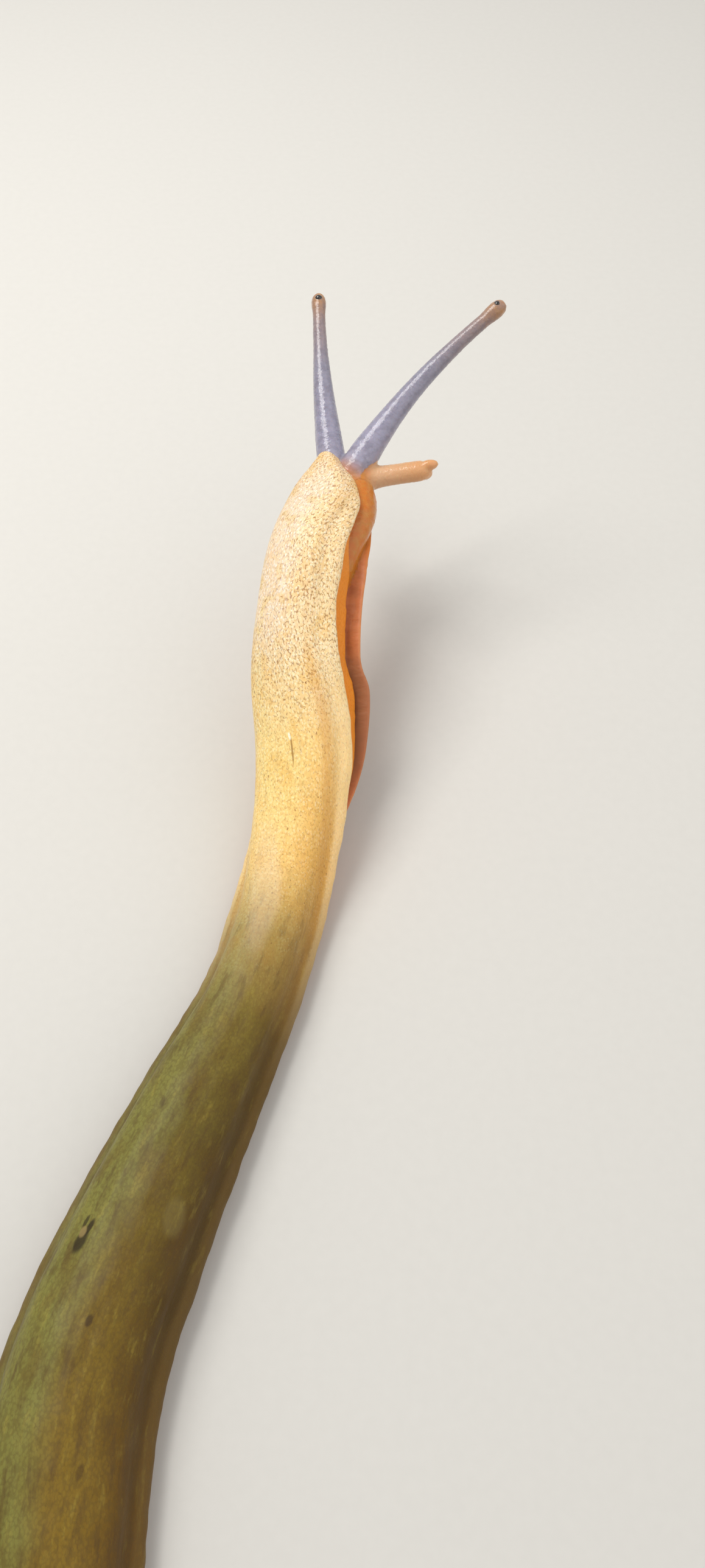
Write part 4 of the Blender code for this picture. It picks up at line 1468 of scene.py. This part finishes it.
class SLUG_OT_stage(bpy.types.Operator):
    """Lays the floor, hangs the lights and sets the camera"""

    bl_idname = "slug.stage"
    bl_label = "Set Stage"
    bl_options = {"REGISTER", "UNDO"}

    def execute(self, context):
        settings = context.scene.slug_studio
        bm = bmesh.new()
        bmesh.ops.create_grid(bm, x_segments=1, y_segments=1, size=FLOOR_HALF)
        floor = as_object("studio_floor", bm)
        floor.data.materials.append(floor_material(settings.floor))
        key = bpy.data.lights.new("key light", "AREA")
        key.energy, key.size, key.color = settings.key, KEY_SIZE, KEY_COLOUR
        fill = bpy.data.lights.new("fill light", "SUN")
        fill.energy, fill.angle, fill.color = settings.fill, FILL_ANGLE, FILL_COLOUR
        for lamp, place in ((key, KEY_AT), (fill, FILL_AT)):
            holder = bpy.data.objects.new(lamp.name, lamp)
            holder.location = place
            holder.rotation_euler = (AIM - place).to_track_quat("-Z", "Y").to_euler()
            context.scene.collection.objects.link(holder)
        world = bpy.data.worlds.new("soft room")
        world.use_nodes = True
        background = world.node_tree.nodes["Background"]
        background.inputs["Color"].default_value = ROOM_COLOUR
        background.inputs["Strength"].default_value = settings.room
        context.scene.world = world
        context.scene.view_settings.view_transform = "Standard"
        lens = bpy.data.cameras.new("camera")
        lens.lens, lens.sensor_width, lens.clip_start = LENS, SENSOR, CLIP_START
        camera = bpy.data.objects.new("camera", lens)
        camera.location = CAMERA_AT * MM
        camera.rotation_euler = (CAMERA_TILT, 0.0, 0.0)
        context.scene.collection.objects.link(camera)
        context.scene.camera = camera
        return {"FINISHED"}


class SLUG_PT_panel(bpy.types.Panel):
    """Lists the slug's settings and steps"""

    bl_idname = "SLUG_PT_panel"
    bl_label = "Leatherleaf Slug"
    bl_space_type = "VIEW_3D"
    bl_region_type = "UI"
    bl_category = "Slug"

    def draw(self, context):
        for group in (context.scene.slug_skin, context.scene.slug_studio):
            for name in group.__annotations__:
                self.layout.prop(group, name)
        for operator in (SLUG_OT_skin, SLUG_OT_eyes, SLUG_OT_stage):
            self.layout.operator(operator.bl_idname)


CLASSES = (SlugSkinSettings, SlugStudioSettings, SLUG_OT_skin, SLUG_OT_eyes, SLUG_OT_stage, SLUG_PT_panel)


def register():
    """Makes the classes and their settings known."""
    for cls in CLASSES:
        bpy.utils.register_class(cls)
    bpy.types.Scene.slug_skin = bpy.props.PointerProperty(type=SlugSkinSettings)
    bpy.types.Scene.slug_studio = bpy.props.PointerProperty(type=SlugStudioSettings)


def unregister():
    """Takes the settings and the classes away again."""
    del bpy.types.Scene.slug_studio
    del bpy.types.Scene.slug_skin
    for cls in reversed(CLASSES):
        bpy.utils.unregister_class(cls)


def main():
    """Builds the slug and its stage."""
    register()
    bpy.ops.slug.skin()
    bpy.ops.slug.eyes()
    bpy.ops.slug.stage()


if __name__ == "__main__":
    main()
